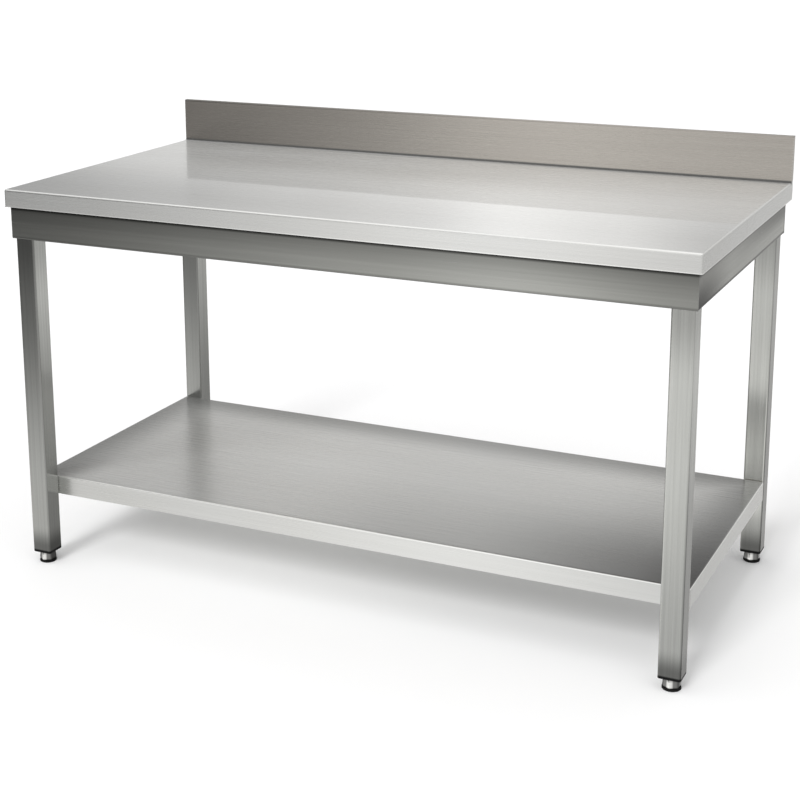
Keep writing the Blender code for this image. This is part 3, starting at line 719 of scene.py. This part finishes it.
# ------------------------------------------------------------------- worktop
def make_worktop():
    def tray_block(inset, top, bottom, rear, radius):
        bm = block(-HALF_W + inset, HALF_W - inset, -HALF_D + inset, rear, bottom, top)

        def folded_edge(e):
            a, b = e.verts
            mid = (a.co + b.co) / 2
            if mid.y > rear - 1e-6:
                return False
            return upright(e) or mid.z > top - 1e-6

        return soft_edges(bm, folded_edge, radius, 8)

    radius = 0.005
    outer = tray_block(0, WORK_HEIGHT, SKIRT_BOTTOM, HALF_D, radius)
    hollow = tray_block(
        TOP_SHEET,
        WORK_HEIGHT - TOP_SHEET,
        SKIRT_BOTTOM - 0.01,
        HALF_D + 0.02,
        radius - TOP_SHEET,
    )
    bend_start = UPSTAND_FACE - 0.008
    behind = block(
        -HALF_W + TOP_SHEET,
        HALF_W - TOP_SHEET,
        bend_start,
        HALF_D + 0.02,
        WORK_HEIGHT - 0.012,
        WORK_HEIGHT + 0.01,
    )
    path = [
        (bend_start - 0.002, WORK_HEIGHT - TOP_SHEET),
        (UPSTAND_FACE + TOP_SHEET, WORK_HEIGHT - TOP_SHEET),
        (UPSTAND_FACE + TOP_SHEET, TOTAL_HEIGHT - TOP_SHEET),
        (HALF_D - TOP_SHEET, TOTAL_HEIGHT - TOP_SHEET),
        (HALF_D - TOP_SHEET, TOTAL_HEIGHT - 0.022),
    ]
    add = [
        prism(
            folded(path, TOP_SHEET, 0.0045, 8),
            "X",
            -HALF_W + TOP_SHEET / 2,
            HALF_W - TOP_SHEET / 2,
        )
    ]
    for side in (-1, 1):
        x0, x1 = sorted((side * HALF_W, side * (HALF_W - TOP_SHEET)))
        cheek = block(
            x0, x1, UPSTAND_FACE, HALF_D, WORK_HEIGHT - 0.010, TOTAL_HEIGHT
        )

        def head_edge(e):
            mid = (e.verts[0].co + e.verts[1].co) / 2
            return (
                mid.z > TOTAL_HEIGHT - 1e-6
                and abs(e.verts[0].co.x - e.verts[1].co.x) > 1e-6
            )

        add.append(soft_edges(cheek, head_edge, 0.003, 6))
    e, lip = 0.0008, 0.006
    for x0, x1, y0, y1 in (
        (-HALF_W + e, HALF_W - e, -HALF_D + e, -HALF_D + lip),
        (-HALF_W + e, -HALF_W + lip, -HALF_D + e, HALF_D - 0.001),
        (HALF_W - lip, HALF_W - e, -HALF_D + e, HALF_D - 0.001),
    ):
        add.append(block(x0, x1, y0, y1, SKIRT_BOTTOM, SKIRT_BOTTOM + TOP_SHEET))
    return piece(
        "worktop_sheet",
        outer,
        M_TOP,
        "root",
        "worktop_skin",
        cut=[hollow, behind],
        add=add,
        rim=0.0006,
    )


# --------------------------------------------------------------------- rails
def rail_path(face, inner):
    return [
        (inner, RAIL_BOTTOM + 0.008),
        (inner, RAIL_BOTTOM),
        (face, RAIL_BOTTOM),
        (face, RAIL_TOP),
        (inner, RAIL_TOP),
    ]


def make_rails():
    corner = LEG_INSET + LEG + 0.004
    for name, face, inward in (
        ("apron_front", RAIL_Y0, 1),
        ("apron_rear", RAIL_Y1, -1),
    ):
        path = rail_path(face, face + inward * RAIL_FLANGE)
        if inward > 0:
            path = path[::-1]
        cuts = []
        for side in (-1, 1):
            x0, x1 = sorted((side * (RAIL_X - corner), side * (RAIL_X + 0.01)))
            y0, y1 = sorted(
                (
                    face + inward * (RAIL_SHEET + GAP / 2),
                    face + inward * (RAIL_FLANGE + 0.01),
                )
            )
            cuts.append(block(x0, x1, y0, y1, RAIL_BOTTOM - 0.01, RAIL_TOP + 0.01))
        y = face + inward * 0.014
        for x in (-0.5, 0.0, 0.5):
            cuts.append(
                prism(regular(x, y, 0.0026, 20), "Z", RAIL_TOP - 0.01, RAIL_TOP + 0.01)
            )
        piece(
            "rail_" + name.split("_")[1],
            prism(folded(path, RAIL_SHEET, 0.003, 6), "X", -RAIL_X, RAIL_X),
            M_RAIL,
            "root",
            name,
            cut=cuts,
        )
    for name, side in (("apron_left", -1), ("apron_right", 1)):
        path = rail_path(side * RAIL_X, side * (RAIL_X - RAIL_FLANGE))
        if side < 0:
            path = path[::-1]
        y0, y1 = RAIL_Y0 + RAIL_SHEET + GAP, RAIL_Y1 - RAIL_SHEET - GAP
        x0, x1 = sorted(
            (
                side * (RAIL_X - RAIL_SHEET - GAP / 2),
                side * (RAIL_X - RAIL_FLANGE - 0.01),
            )
        )
        cuts = [
            block(x0, x1, a, b, RAIL_BOTTOM - 0.01, RAIL_TOP + 0.01)
            for a, b in (
                (y0 - 0.01, RAIL_Y0 + corner),
                (RAIL_Y1 - corner, y1 + 0.01),
            )
        ]
        piece(
            "rail_" + name.split("_")[1],
            prism(folded(path, RAIL_SHEET, 0.003, 6), "Y", y0, y1),
            M_RAIL_Y,
            "root",
            name,
            cut=cuts,
        )


def make_cross_channels():
    y0 = RAIL_Y0 + RAIL_FLANGE + 0.0015
    y1 = RAIL_Y1 - RAIL_FLANGE - 0.0015
    for name, x in (("cross_channel_left", -0.25), ("cross_channel_right", 0.25)):
        half, brim, deep = 0.020, 0.018, 0.030
        top = RAIL_TOP - RAIL_SHEET
        path = [
            (x - half - brim, top),
            (x - half, top),
            (x - half, RAIL_TOP - deep),
            (x + half, RAIL_TOP - deep),
            (x + half, top),
            (x + half + brim, top),
        ]
        piece(
            name.replace("cross_channel", "under_channel"),
            prism(folded(path, RAIL_SHEET, 0.003, 6), "Y", y0, y1),
            M_CHANNEL_Y,
            "root",
            name,
        )


# ---------------------------------------------------------------------- legs
BOLT_RADIUS, BOLT_HOLE = 0.004, 0.0044
BOLT_Z = {"x": 0.772, "y": 0.800}


def bolt(name, axis, s, seat, tip, across, z):
    """A hexagon-head bolt with a chamfered head, a washer face and a thread, seat to tip along +-axis."""
    sides = 36
    head, washer = 0.0053, 0.0004
    flats = 0.0065

    def six(radius_flats, cap=None):
        out = []
        for k in range(sides):
            a = math.tau * k / sides
            w = (a + math.pi / 6) % (math.pi / 3) - math.pi / 6
            r = radius_flats / math.cos(w)
            out.append((min(r, cap) if cap else r, a))
        return out

    def round_(radius):
        return [(radius, math.tau * k / sides) for k in range(sides)]

    top = seat - s * (GAP + head)
    stations = [
        (round_(0.0040), top + s * 0.0004),
        (round_(0.0043), top),
        (round_(0.0056), top),
        (six(flats, 0.0062), top + s * 0.0003),
        (six(flats, 0.0071), top + s * 0.0009),
        (six(flats), top + s * 0.0014),
        (six(flats), seat - s * (GAP + washer)),
        (round_(0.0062), seat - s * (GAP + washer)),
        (round_(0.0062), seat - s * GAP),
        (round_(BOLT_RADIUS), seat - s * GAP),
    ]
    length = abs(tip - seat)
    pitch = 0.00125
    turns = int((length - 0.001) / pitch)
    for k in range(turns):
        w = seat + s * (0.0002 + k * pitch)
        stations += [
            (round_(BOLT_RADIUS - 0.0006), w + s * pitch * 0.15),
            (round_(BOLT_RADIUS), w + s * pitch * 0.55),
        ]
    stations += [
        (round_(BOLT_RADIUS - 0.0003), tip - s * 0.0005),
        (round_(BOLT_RADIUS - 0.0007), tip),
    ]
    sections = []
    for line, w in stations:
        sections.append(
            [
                (
                    (w, across + r * math.cos(a), z + r * math.sin(a))
                    if axis == "x"
                    else (across + r * math.cos(a), w, z + r * math.sin(a))
                )
                for r, a in line
            ]
        )
    return stack(sections)


def make_legs():
    y_edge = {-1: shelf_lo.y, 1: shelf_hi.y}
    for name, (x, y, sx, sy) in LEGS.items():
        steps = 10
        outer = rounded_square(x, y, LEG / 2, LEG_CORNER, steps)
        inner = rounded_square(
            x, y, LEG / 2 - LEG_WALL, LEG_CORNER - LEG_WALL, steps
        )
        holes = []
        reach = LEG + 0.002
        ox, oy = x + sx * (LEG / 2 + GAP), y + sy * (LEG / 2 + GAP)
        path = [
            (ox - sx * reach, oy + sy * BRACKET_SHEET),
            (ox + sx * BRACKET_SHEET, oy + sy * BRACKET_SHEET),
            (ox + sx * BRACKET_SHEET, oy - sy * reach),
        ]
        if sx * sy > 0:
            path = path[::-1]
        bracket_holes = []
        for axis, s, along, across in (("x", sx, x, y), ("y", sy, y, x)):
            z = BOLT_Z[axis]
            inside = along - s * LEG / 2
            tip = along + s * (LEG / 2 + GAP + BRACKET_SHEET - 0.0002)
            limit = along + s * (LEG / 2 + GAP + BRACKET_SHEET + 0.0002)
            a, b = sorted((inside - s * 0.02, limit))
            for target in (holes, bracket_holes):
                target.append(
                    prism(
                        regular(across, z, BOLT_HOLE, 24, math.pi / 24),
                        axis.upper(),
                        a,
                        b,
                    )
                )
            piece(
                f"hex_bolt_{name}_{axis}",
                bolt(name, axis, s, inside, tip, across, z),
                M_ZINC,
                "root",
                f"leg_bolt_{name}_{axis}",
                rim=0,
            )
        edge = y_edge[sy]
        z = shelf_hi.z - 0.021
        seat = edge - sy * SHELF_SHEET
        tip = edge + sy * (GAP + LEG_WALL + 0.010)
        a, b = sorted((seat - sy * 0.002, tip + sy * 0.004))
        holes.append(prism(regular(x, z, BOLT_HOLE, 24, math.pi / 24), "Y", a, b))
        piece(
            f"hex_bolt_shelf_{name}",
            bolt(name, "y", sy, seat, tip, x, z),
            M_ZINC,
            "root",
            f"shelf_bolt_{name}",
            rim=0,
        )
        piece(
            f"leg_tube_{name}",
            ring(outer, inner, LEG_BOTTOM, LEG_TOP),
            M_LEG,
            "root",
            f"leg_{name}",
            cut=holes,
            rim=0.0002,
        )
        piece(
            f"corner_angle_{name}",
            prism(
                folded(path, BRACKET_SHEET, 0.0045, 8),
                "Z",
                RAIL_BOTTOM + RAIL_SHEET + 0.0005,
                RAIL_TOP - RAIL_SHEET - 0.0005,
            ),
            M_ZINC,
            "root",
            f"corner_bracket_{name}",
            cut=bracket_holes,
            rim=0.0004,
        )


# --------------------------------------------------------------------- shelf
def make_shelf():
    y0, y1 = shelf_lo.y, shelf_hi.y
    half, low, high = shelf_hi.x, shelf_lo.z, shelf_hi.z

    def tray_block(inset, top, bottom, radius):
        bm = block(-half + inset, half - inset, y0 + inset, y1 - inset, bottom, top)
        return soft_edges(
            bm,
            lambda e: upright(e)
            or (e.verts[0].co.z > top - 1e-6 and e.verts[1].co.z > top - 1e-6),
            radius,
            6,
        )

    e = 0.0006
    lips = [
        block(a, b, c, d, low, low + SHELF_SHEET)
        for a, b, c, d in (
            (-half + e, half - e, y0 + e, y0 + SHELF_LIP),
            (-half + e, half - e, y1 - SHELF_LIP, y1 - e),
            (-half + e, -half + SHELF_LIP, y0 + e, y1 - e),
            (half - SHELF_LIP, half - e, y0 + e, y1 - e),
        )
    ]
    cuts = [
        tray_block(SHELF_SHEET, high - SHELF_SHEET, low - 0.01, 0.003 - SHELF_SHEET)
    ]
    for x, y, sx, sy in LEGS.values():
        edge = y0 if sy < 0 else y1
        a, b = sorted((edge - sy * 0.004, edge + sy * 0.004))
        cuts.append(
            prism(regular(x, high - 0.021, BOLT_HOLE, 24, math.pi / 24), "Y", a, b)
        )
    piece(
        "undershelf",
        tray_block(0, high, low, 0.003),
        M_SHELF,
        "root",
        "shelf_tray",
        cut=cuts,
        add=lips,
        rim=0.0005,
    )
    mid = (y0 + y1) / 2
    deep, hat, brim = 0.028, 0.035, 0.020
    z = high - SHELF_SHEET - GAP
    path = [
        (mid - hat - brim, z - SHELF_SHEET),
        (mid - hat, z - SHELF_SHEET),
        (mid - hat, z - deep),
        (mid + hat, z - deep),
        (mid + hat, z - SHELF_SHEET),
        (mid + hat + brim, z - SHELF_SHEET),
    ]
    end = half - SHELF_LIP - 0.002
    piece(
        "undershelf_channel",
        prism(folded(path, SHELF_SHEET, 0.003, 6), "X", -end, end),
        M_CHANNEL,
        "root",
        "shelf_channel",
    )


# ---------------------------------------------------------------------- feet
def flats(x, y, radius, z, sides=48, cap=None):
    """A hexagon's outline across its flats, cut to a circle of radius cap."""
    out = []
    for k in range(sides):
        a = math.tau * k / sides
        w = (a + math.pi / 6) % (math.pi / 3) - math.pi / 6
        r = radius / math.cos(w)
        if cap:
            r = min(r, cap)
        out.append((x + r * math.cos(a), y + r * math.sin(a), z))
    return out


def disc(x, y, radius, z, sides=48):
    return [(px, py, z) for px, py in regular(x, y, radius, sides)]


def make_feet():
    sides = 48
    for name, (x, y, sx, sy) in LEGS.items():
        body = LEG / 2 - LEG_WALL - GAP
        low, flange_top = PLUG_LOW, LEG_BOTTOM - GAP

        def square(half, radius, z):
            return [(px, py, z) for px, py in rounded_square(x, y, half, radius, 11)]

        full = LEG / 2
        sections = [
            square(full - 0.0014, 0.0034, low),
            square(full - 0.0006, 0.0038, low + 0.0002),
            square(full - 0.00015, 0.0040, low + 0.0006),
            square(full, 0.0040, low + 0.0011),
            square(full, 0.0040, flange_top - 0.0004),
            square(full - 0.0003, 0.0039, flange_top),
            square(body, 0.0025, flange_top),
            square(body, 0.0025, LEG_BOTTOM + 0.028),
            square(body - 0.0015, 0.0020, LEG_BOTTOM + 0.030),
        ]
        nut = 0.017 / math.sqrt(3)
        nut_low, nut_high = LEG_BOTTOM + 0.018, LEG_BOTTOM + 0.026
        piece(
            f"tube_plug_{name}",
            stack(sections),
            M_PLASTIC,
            "root",
            f"leg_plug_{name}",
            cut=[
                prism(regular(x, y, 0.0055, sides), "Z", low - 0.01, LEG_BOTTOM + 0.05),
                prism(
                    regular(x, y, nut + 0.0005, 6),
                    "Z",
                    nut_low - GAP,
                    LEG_BOTTOM + 0.05,
                ),
            ],
            rim=0,
        )
        piece(
            f"stud_nut_{name}",
            stack(
                [
                    flats(x, y, 0.0085, nut_low, sides, 0.0086),
                    flats(x, y, 0.0085, nut_low + 0.0008, sides, 0.0092),
                    flats(x, y, 0.0085, nut_low + 0.0014, sides),
                    flats(x, y, 0.0085, nut_high - 0.0014, sides),
                    flats(x, y, 0.0085, nut_high - 0.0008, sides, 0.0092),
                    flats(x, y, 0.0085, nut_high, sides, 0.0086),
                ]
            ),
            M_ZINC,
            "root",
            f"plug_nut_{name}",
            cut=[
                prism(
                    regular(x, y, 0.0055, sides), "Z", nut_low - 0.01, nut_high + 0.01
                )
            ],
            rim=0,
        )
        # pad: a moulded disc with a groove round it and a socket for the foot screw
        r = PAD_RADIUS
        pad = stack(
            [
                disc(x, y, r - 0.0050, 0.0),
                disc(x, y, r - 0.0016, 0.0),
                disc(x, y, r - 0.0006, 0.0003),
                disc(x, y, r, 0.0012),
                disc(x, y, r, 0.0040),
                disc(x, y, r - 0.0003, 0.0047),
                disc(x, y, r - 0.0010, PAD_HEIGHT),
            ]
        )
        piece(
            f"pad_disc_{name}",
            pad,
            M_RUBBER,
            f"pad_{name}",
            f"foot_pad_{name}",
            cut=[
                prism(
                    regular(x, y, 0.0070, sides),
                    "Z",
                    PAD_HEIGHT - 0.0030,
                    PAD_HEIGHT + 0.01,
                )
            ],
            rim=0,
        )
        # foot screw: boss, hexagon with rounded shoulders, turned crown, threaded stud
        base, crown = PAD_HEIGHT + GAP, PLUG_LOW - GAP
        f = FOOT_FLATS / 2
        sections = [
            disc(x, y, 0.0058, PAD_HEIGHT - 0.0030 + GAP),
            disc(x, y, 0.0065, PAD_HEIGHT - 0.0030 + GAP + 0.0005),
            disc(x, y, 0.0065, base),
            flats(x, y, f * 0.955, base, sides, f * 1.03),
            flats(x, y, f * 0.985, base + 0.0004, sides, f * 1.08),
            flats(x, y, f, base + 0.0014, sides, f * 1.13),
            flats(x, y, f * 0.985, base + 0.0060, sides, f * 1.12),
            flats(x, y, f * 0.955, base + 0.0120, sides, f * 1.085),
            flats(x, y, f * 0.940, crown - 0.0032, sides, f * 1.05),
            flats(x, y, f * 0.930, crown - 0.0016, sides, f * 0.985),
            flats(x, y, f * 0.900, crown - 0.0006, sides, f * 0.925),
            disc(x, y, f * 0.850, crown),
            disc(x, y, 0.0046, crown),
        ]
        # the thread: 1.5 mm pitch, as a helix in the radius of each ring
        pitch, step = 0.0015, 0.0015 / 6
        z = crown + 0.0002
        top = STUD_TOP - 0.0012
        while z < top:
            line = []
            for k in range(sides):
                a = math.tau * k / sides
                phase = ((z - crown) / pitch - k / sides) % 1.0
                ridge = 1 - abs(2 * phase - 1)
                ridge = min(1.0, max(0.0, (ridge - 0.12) / 0.76))
                rad = 0.0041 + 0.0009 * ridge
                line.append((x + rad * math.cos(a), y + rad * math.sin(a), z))
            sections.append(line)
            z += step
        sections += [disc(x, y, 0.0041, STUD_TOP - 0.0008), disc(x, y, 0.0034, STUD_TOP)]
        piece(
            f"foot_hex_{name}",
            stack(sections),
            M_FOOT,
            f"screw_{name}",
            f"foot_screw_{name}",
            rim=0,
            smooth=38,
        )


def dress_carried_nodes():
    """CAD nodes whose shape is right stay as they are and get a full material."""
    for name, ob in nodes.items():
        if ob.hide_render:
            continue
        if name == "underlay_board":
            mat, width = M_BOARD, 0.0
        else:
            mat, width = M_ZINC, 0.0
        ob.data.materials.clear()
        ob.data.materials.append(mat)


make_worktop()
make_rails()
make_cross_channels()
make_legs()
make_shelf()
make_feet()
dress_carried_nodes()


# --------------------------------------------------------------------- floor
def make_floor():
    bm = bmesh.new()
    size, n = 30.0, 24
    bmesh.ops.create_grid(bm, x_segments=n, y_segments=n, size=size)
    ob = loose(bm, "floor")
    ob.location.z = -0.0002
    mat = bpy.data.materials.new("studio_floor")
    t = Tree(mat)
    place = t.node("ShaderNodeTexCoord").outputs["Object"]
    slow = t.noise(place, (1.3, 1.3, 1.3), 2.0, 0.5)
    p = t.node("ShaderNodeBsdfPrincipled")
    c = t.blend(slow, (0.815, 0.815, 0.819, 1), (0.828, 0.828, 0.828, 1))
    t.link(c, p.inputs["Base Color"])
    p.inputs["Roughness"].default_value = 0.9
    p.inputs["Specular IOR Level"].default_value = 0.0
    p.inputs["Emission Color"].default_value = (1, 1, 1, 1)
    p.inputs["Emission Strength"].default_value = 0.08
    out = t.node("ShaderNodeOutputMaterial")
    t.link(p.outputs[0], out.inputs[0])
    ob.data.materials.append(mat)
    ob.visible_glossy = False
    return ob


FLOOR = make_floor()


# --------------------------------------------------------------------- world
def ramp(t, value, stops):
    """A smooth level over the world's x direction, from (x, level) stops."""
    n = t.node("ShaderNodeValToRGB")
    n.color_ramp.interpolation = "EASE"
    half = t.math("MULTIPLY_ADD", value, 0.5, 0.5)
    t.link(half, n.inputs[0])
    e = n.color_ramp.elements
    for i, (x, level) in enumerate(stops):
        p = x * 0.5 + 0.5
        if i == 0:
            item = e[0]
            item.position = p
        elif i == len(stops) - 1:
            item = e[len(e) - 1]
            item.position = p
        else:
            item = e.new(p)
        item.color = (level / 2, level / 2, level / 2, 1)
    return t.math("MULTIPLY", n.outputs[0], 2.0)


def make_world():
    """Soft studio: white all round, with a gentler, uneven surround that only the metal mirrors."""
    world = bpy.data.worlds.new("studio")
    bpy.context.scene.world = world
    t = Tree(world)
    way = t.node("ShaderNodeTexCoord").outputs["Generated"]
    xyz = t.node("ShaderNodeSeparateXYZ")
    t.link(way, xyz.inputs[0])
    x, y, z = xyz.outputs

    def mix(f, a, b):
        """a where f is 0, b where f is 1."""
        return t.math("MULTIPLY_ADD", f, t.math("SUBTRACT", b, a), a)

    # ahead of the table: floor in front, the room at eye height, and above that
    ahead_low = ramp(t, x, ((-1, 0.9), (-0.62, 1.15), (-0.55, 0.80), (-0.51, 0.90), (-0.42, 0.95), (-0.36, 1.35), (-0.30, 1.25), (-0.245, 0.66), (-0.12, 0.75), (0.3, 0.85), (1, 0.7)))
    ahead_mid = ramp(t, x, ((-1, 0.1), (-0.65, 0.03), (-0.60, 0.16), (-0.56, 0.46), (-0.50, 0.68), (-0.44, 0.80), (-0.38, 1.35), (-0.31, 1.30), (-0.25, 0.60), (-0.12, 0.75), (0.3, 0.85), (1, 0.7)))
    ahead_high = ramp(t, x, ((-1, 0.12), (-0.60, 0.14), (-0.48, 0.45), (-0.40, 0.80), (-0.32, 1.25), (-0.24, 0.95), (-0.12, 0.85), (0.3, 0.85), (1, 0.7)))
    ahead = mix(t.remap(z, -0.36, -0.20, 0.0, 1.0), ahead_low, ahead_mid)
    ahead = mix(t.remap(z, -0.05, 0.2, 0.0, 1.0), ahead, ahead_high)
    # behind it: what the flat tops mirror, with one soft box left of the middle
    behind_low = ramp(t, x, ((-1, 0.6), (-0.5, 0.5), (-0.2, 0.8), (0.15, 0.95), (0.19, 0.85), (0.24, 0.5), (0.5, 0.35), (1, 0.5)))
    behind_mid = ramp(t, x, ((-1, 0.6), (-0.5, 0.6), (-0.2, 0.9), (0.13, 0.9), (0.18, 0.8), (0.24, 0.45), (0.35, 0.55), (0.5, 0.42), (0.59, 1.15), (0.7, 0.9), (1, 0.6)))
    behind_high = ramp(t, x, ((-1, 0.35), (-0.60, 0.28), (-0.53, 0.52), (-0.46, 0.72), (-0.40, 0.90), (-0.345, 1.34), (-0.29, 1.10), (-0.22, 0.58), (0.1, 0.8), (0.5, 0.8), (1, 0.6)))
    behind = mix(t.remap(z, -0.36, -0.18, 0.0, 1.0), behind_low, behind_mid)
    behind = mix(t.remap(z, 0.02, 0.22, 0.0, 1.0), behind, behind_high)
    level = mix(t.remap(y, -0.12, 0.12, 0.0, 1.0), ahead, behind)
    # the soft box overhead, and the pale floor below
    level = mix(t.remap(z, 0.48, 0.90, 0.0, 1.0), level, 1.35)
    level = mix(t.remap(z, -0.5, -0.9, 0.0, 1.0), level, 0.85)
    mirrored = t.node("ShaderNodeBackground")
    mirrored.inputs["Color"].default_value = (1.0, 0.992, 0.975, 1)
    t.link(level, mirrored.inputs["Strength"])
    plain = t.node("ShaderNodeBackground")
    plain.inputs["Color"].default_value = (1, 1, 1, 1)
    plain.inputs["Strength"].default_value = 0.55
    seen = t.node("ShaderNodeBackground")
    seen.inputs["Color"].default_value = (1, 1, 1, 1)
    seen.inputs["Strength"].default_value = 1.0
    path = t.node("ShaderNodeLightPath")
    a = t.node("ShaderNodeMixShader")
    t.link(path.outputs["Is Glossy Ray"], a.inputs[0])
    t.link(plain.outputs[0], a.inputs[1])
    t.link(mirrored.outputs[0], a.inputs[2])
    b = t.node("ShaderNodeMixShader")
    t.link(path.outputs["Is Camera Ray"], b.inputs[0])
    t.link(a.outputs[0], b.inputs[1])
    t.link(seen.outputs[0], b.inputs[2])
    out = t.node("ShaderNodeOutputWorld")
    t.link(b.outputs[0], out.inputs[0])


make_world()


def group(name, objects):
    c = bpy.data.collections.new(name)
    for ob in objects:
        c.objects.link(ob)
    return c


def soft_sun(name, power, spread, way, lights, shades=None):
    """A broad, soft light from afar, on some objects only."""
    data = bpy.data.lights.new(name, "SUN")
    data.energy, data.angle = power, math.radians(spread)
    ob = bpy.data.objects.new(name, data)
    bpy.context.scene.collection.objects.link(ob)
    ob.location = (-2.0, -3.0, 4.0)
    ob.rotation_mode = "QUATERNION"
    ob.rotation_quaternion = Vector(way).to_track_quat("-Z", "Y")
    ob.visible_glossy = False
    ob.light_linking.receiver_collection = group(name + "_lights", lights)
    if shades:
        ob.light_linking.blocker_collection = group(name + "_shades", shades)
    return ob


def make_lights():
    shown = [
        ob
        for ob in bpy.context.scene.objects
        if ob.type == "MESH" and ob != FLOOR and not ob.hide_render
    ]
    low = ("undershelf", "leg_tube", "tube_plug", "foot_hex", "pad_disc")
    near_floor = [ob for ob in shown if ob.name.startswith(low)]
    soft_sun("key", 2.3, 26, (0.34, 0.80, -0.78), shown)
    # the worktop's own shade would fall far behind the table, so the floor's light passes it
    soft_sun("floor_key", 1.72, 17, (0.06, 0.80, -0.60), [FLOOR], near_floor)
    soft_sun("floor_fill", 1.15, 70, (0.0, 0.36, -1.0), [FLOOR], near_floor)


make_lights()

# -------------------------------------------------------------------- camera
F, CX, CY = 1.66, 0.36123, 0.272
YAW, PITCH, ROLL = 0.45092, 0.23613, 0.00695
EYE = Vector((1.43794, -2.78347 - HALF_D, 1.49656))


def make_camera():
    fwd = Vector(
        (
            -math.sin(YAW) * math.cos(PITCH),
            math.cos(YAW) * math.cos(PITCH),
            -math.sin(PITCH),
        )
    )
    right = Vector((math.cos(YAW), math.sin(YAW), 0))
    down = fwd.cross(right)
    r = right * math.cos(ROLL) + down * math.sin(ROLL)
    d = down * math.cos(ROLL) - right * math.sin(ROLL)
    m = Matrix.Identity(4)
    for i, v in enumerate((r, -d, -fwd)):
        for k in range(3):
            m[k][i] = v[k]
    m.translation = EYE
    data = bpy.data.cameras.new("camera")
    data.sensor_width = 36
    data.lens = F * 1000 * 36 / 800
    data.shift_x = (0.4 - CX) * 1000 / 800
    data.shift_y = (CY - 0.4) * 1000 / 800
    data.clip_start, data.clip_end = 0.05, 200
    ob = bpy.data.objects.new("camera", data)
    ob.matrix_world = m
    bpy.context.scene.collection.objects.link(ob)
    bpy.context.scene.camera = ob


make_camera()
bpy.context.scene.view_settings.view_transform = "Standard"
bpy.context.scene.view_settings.look = "None"
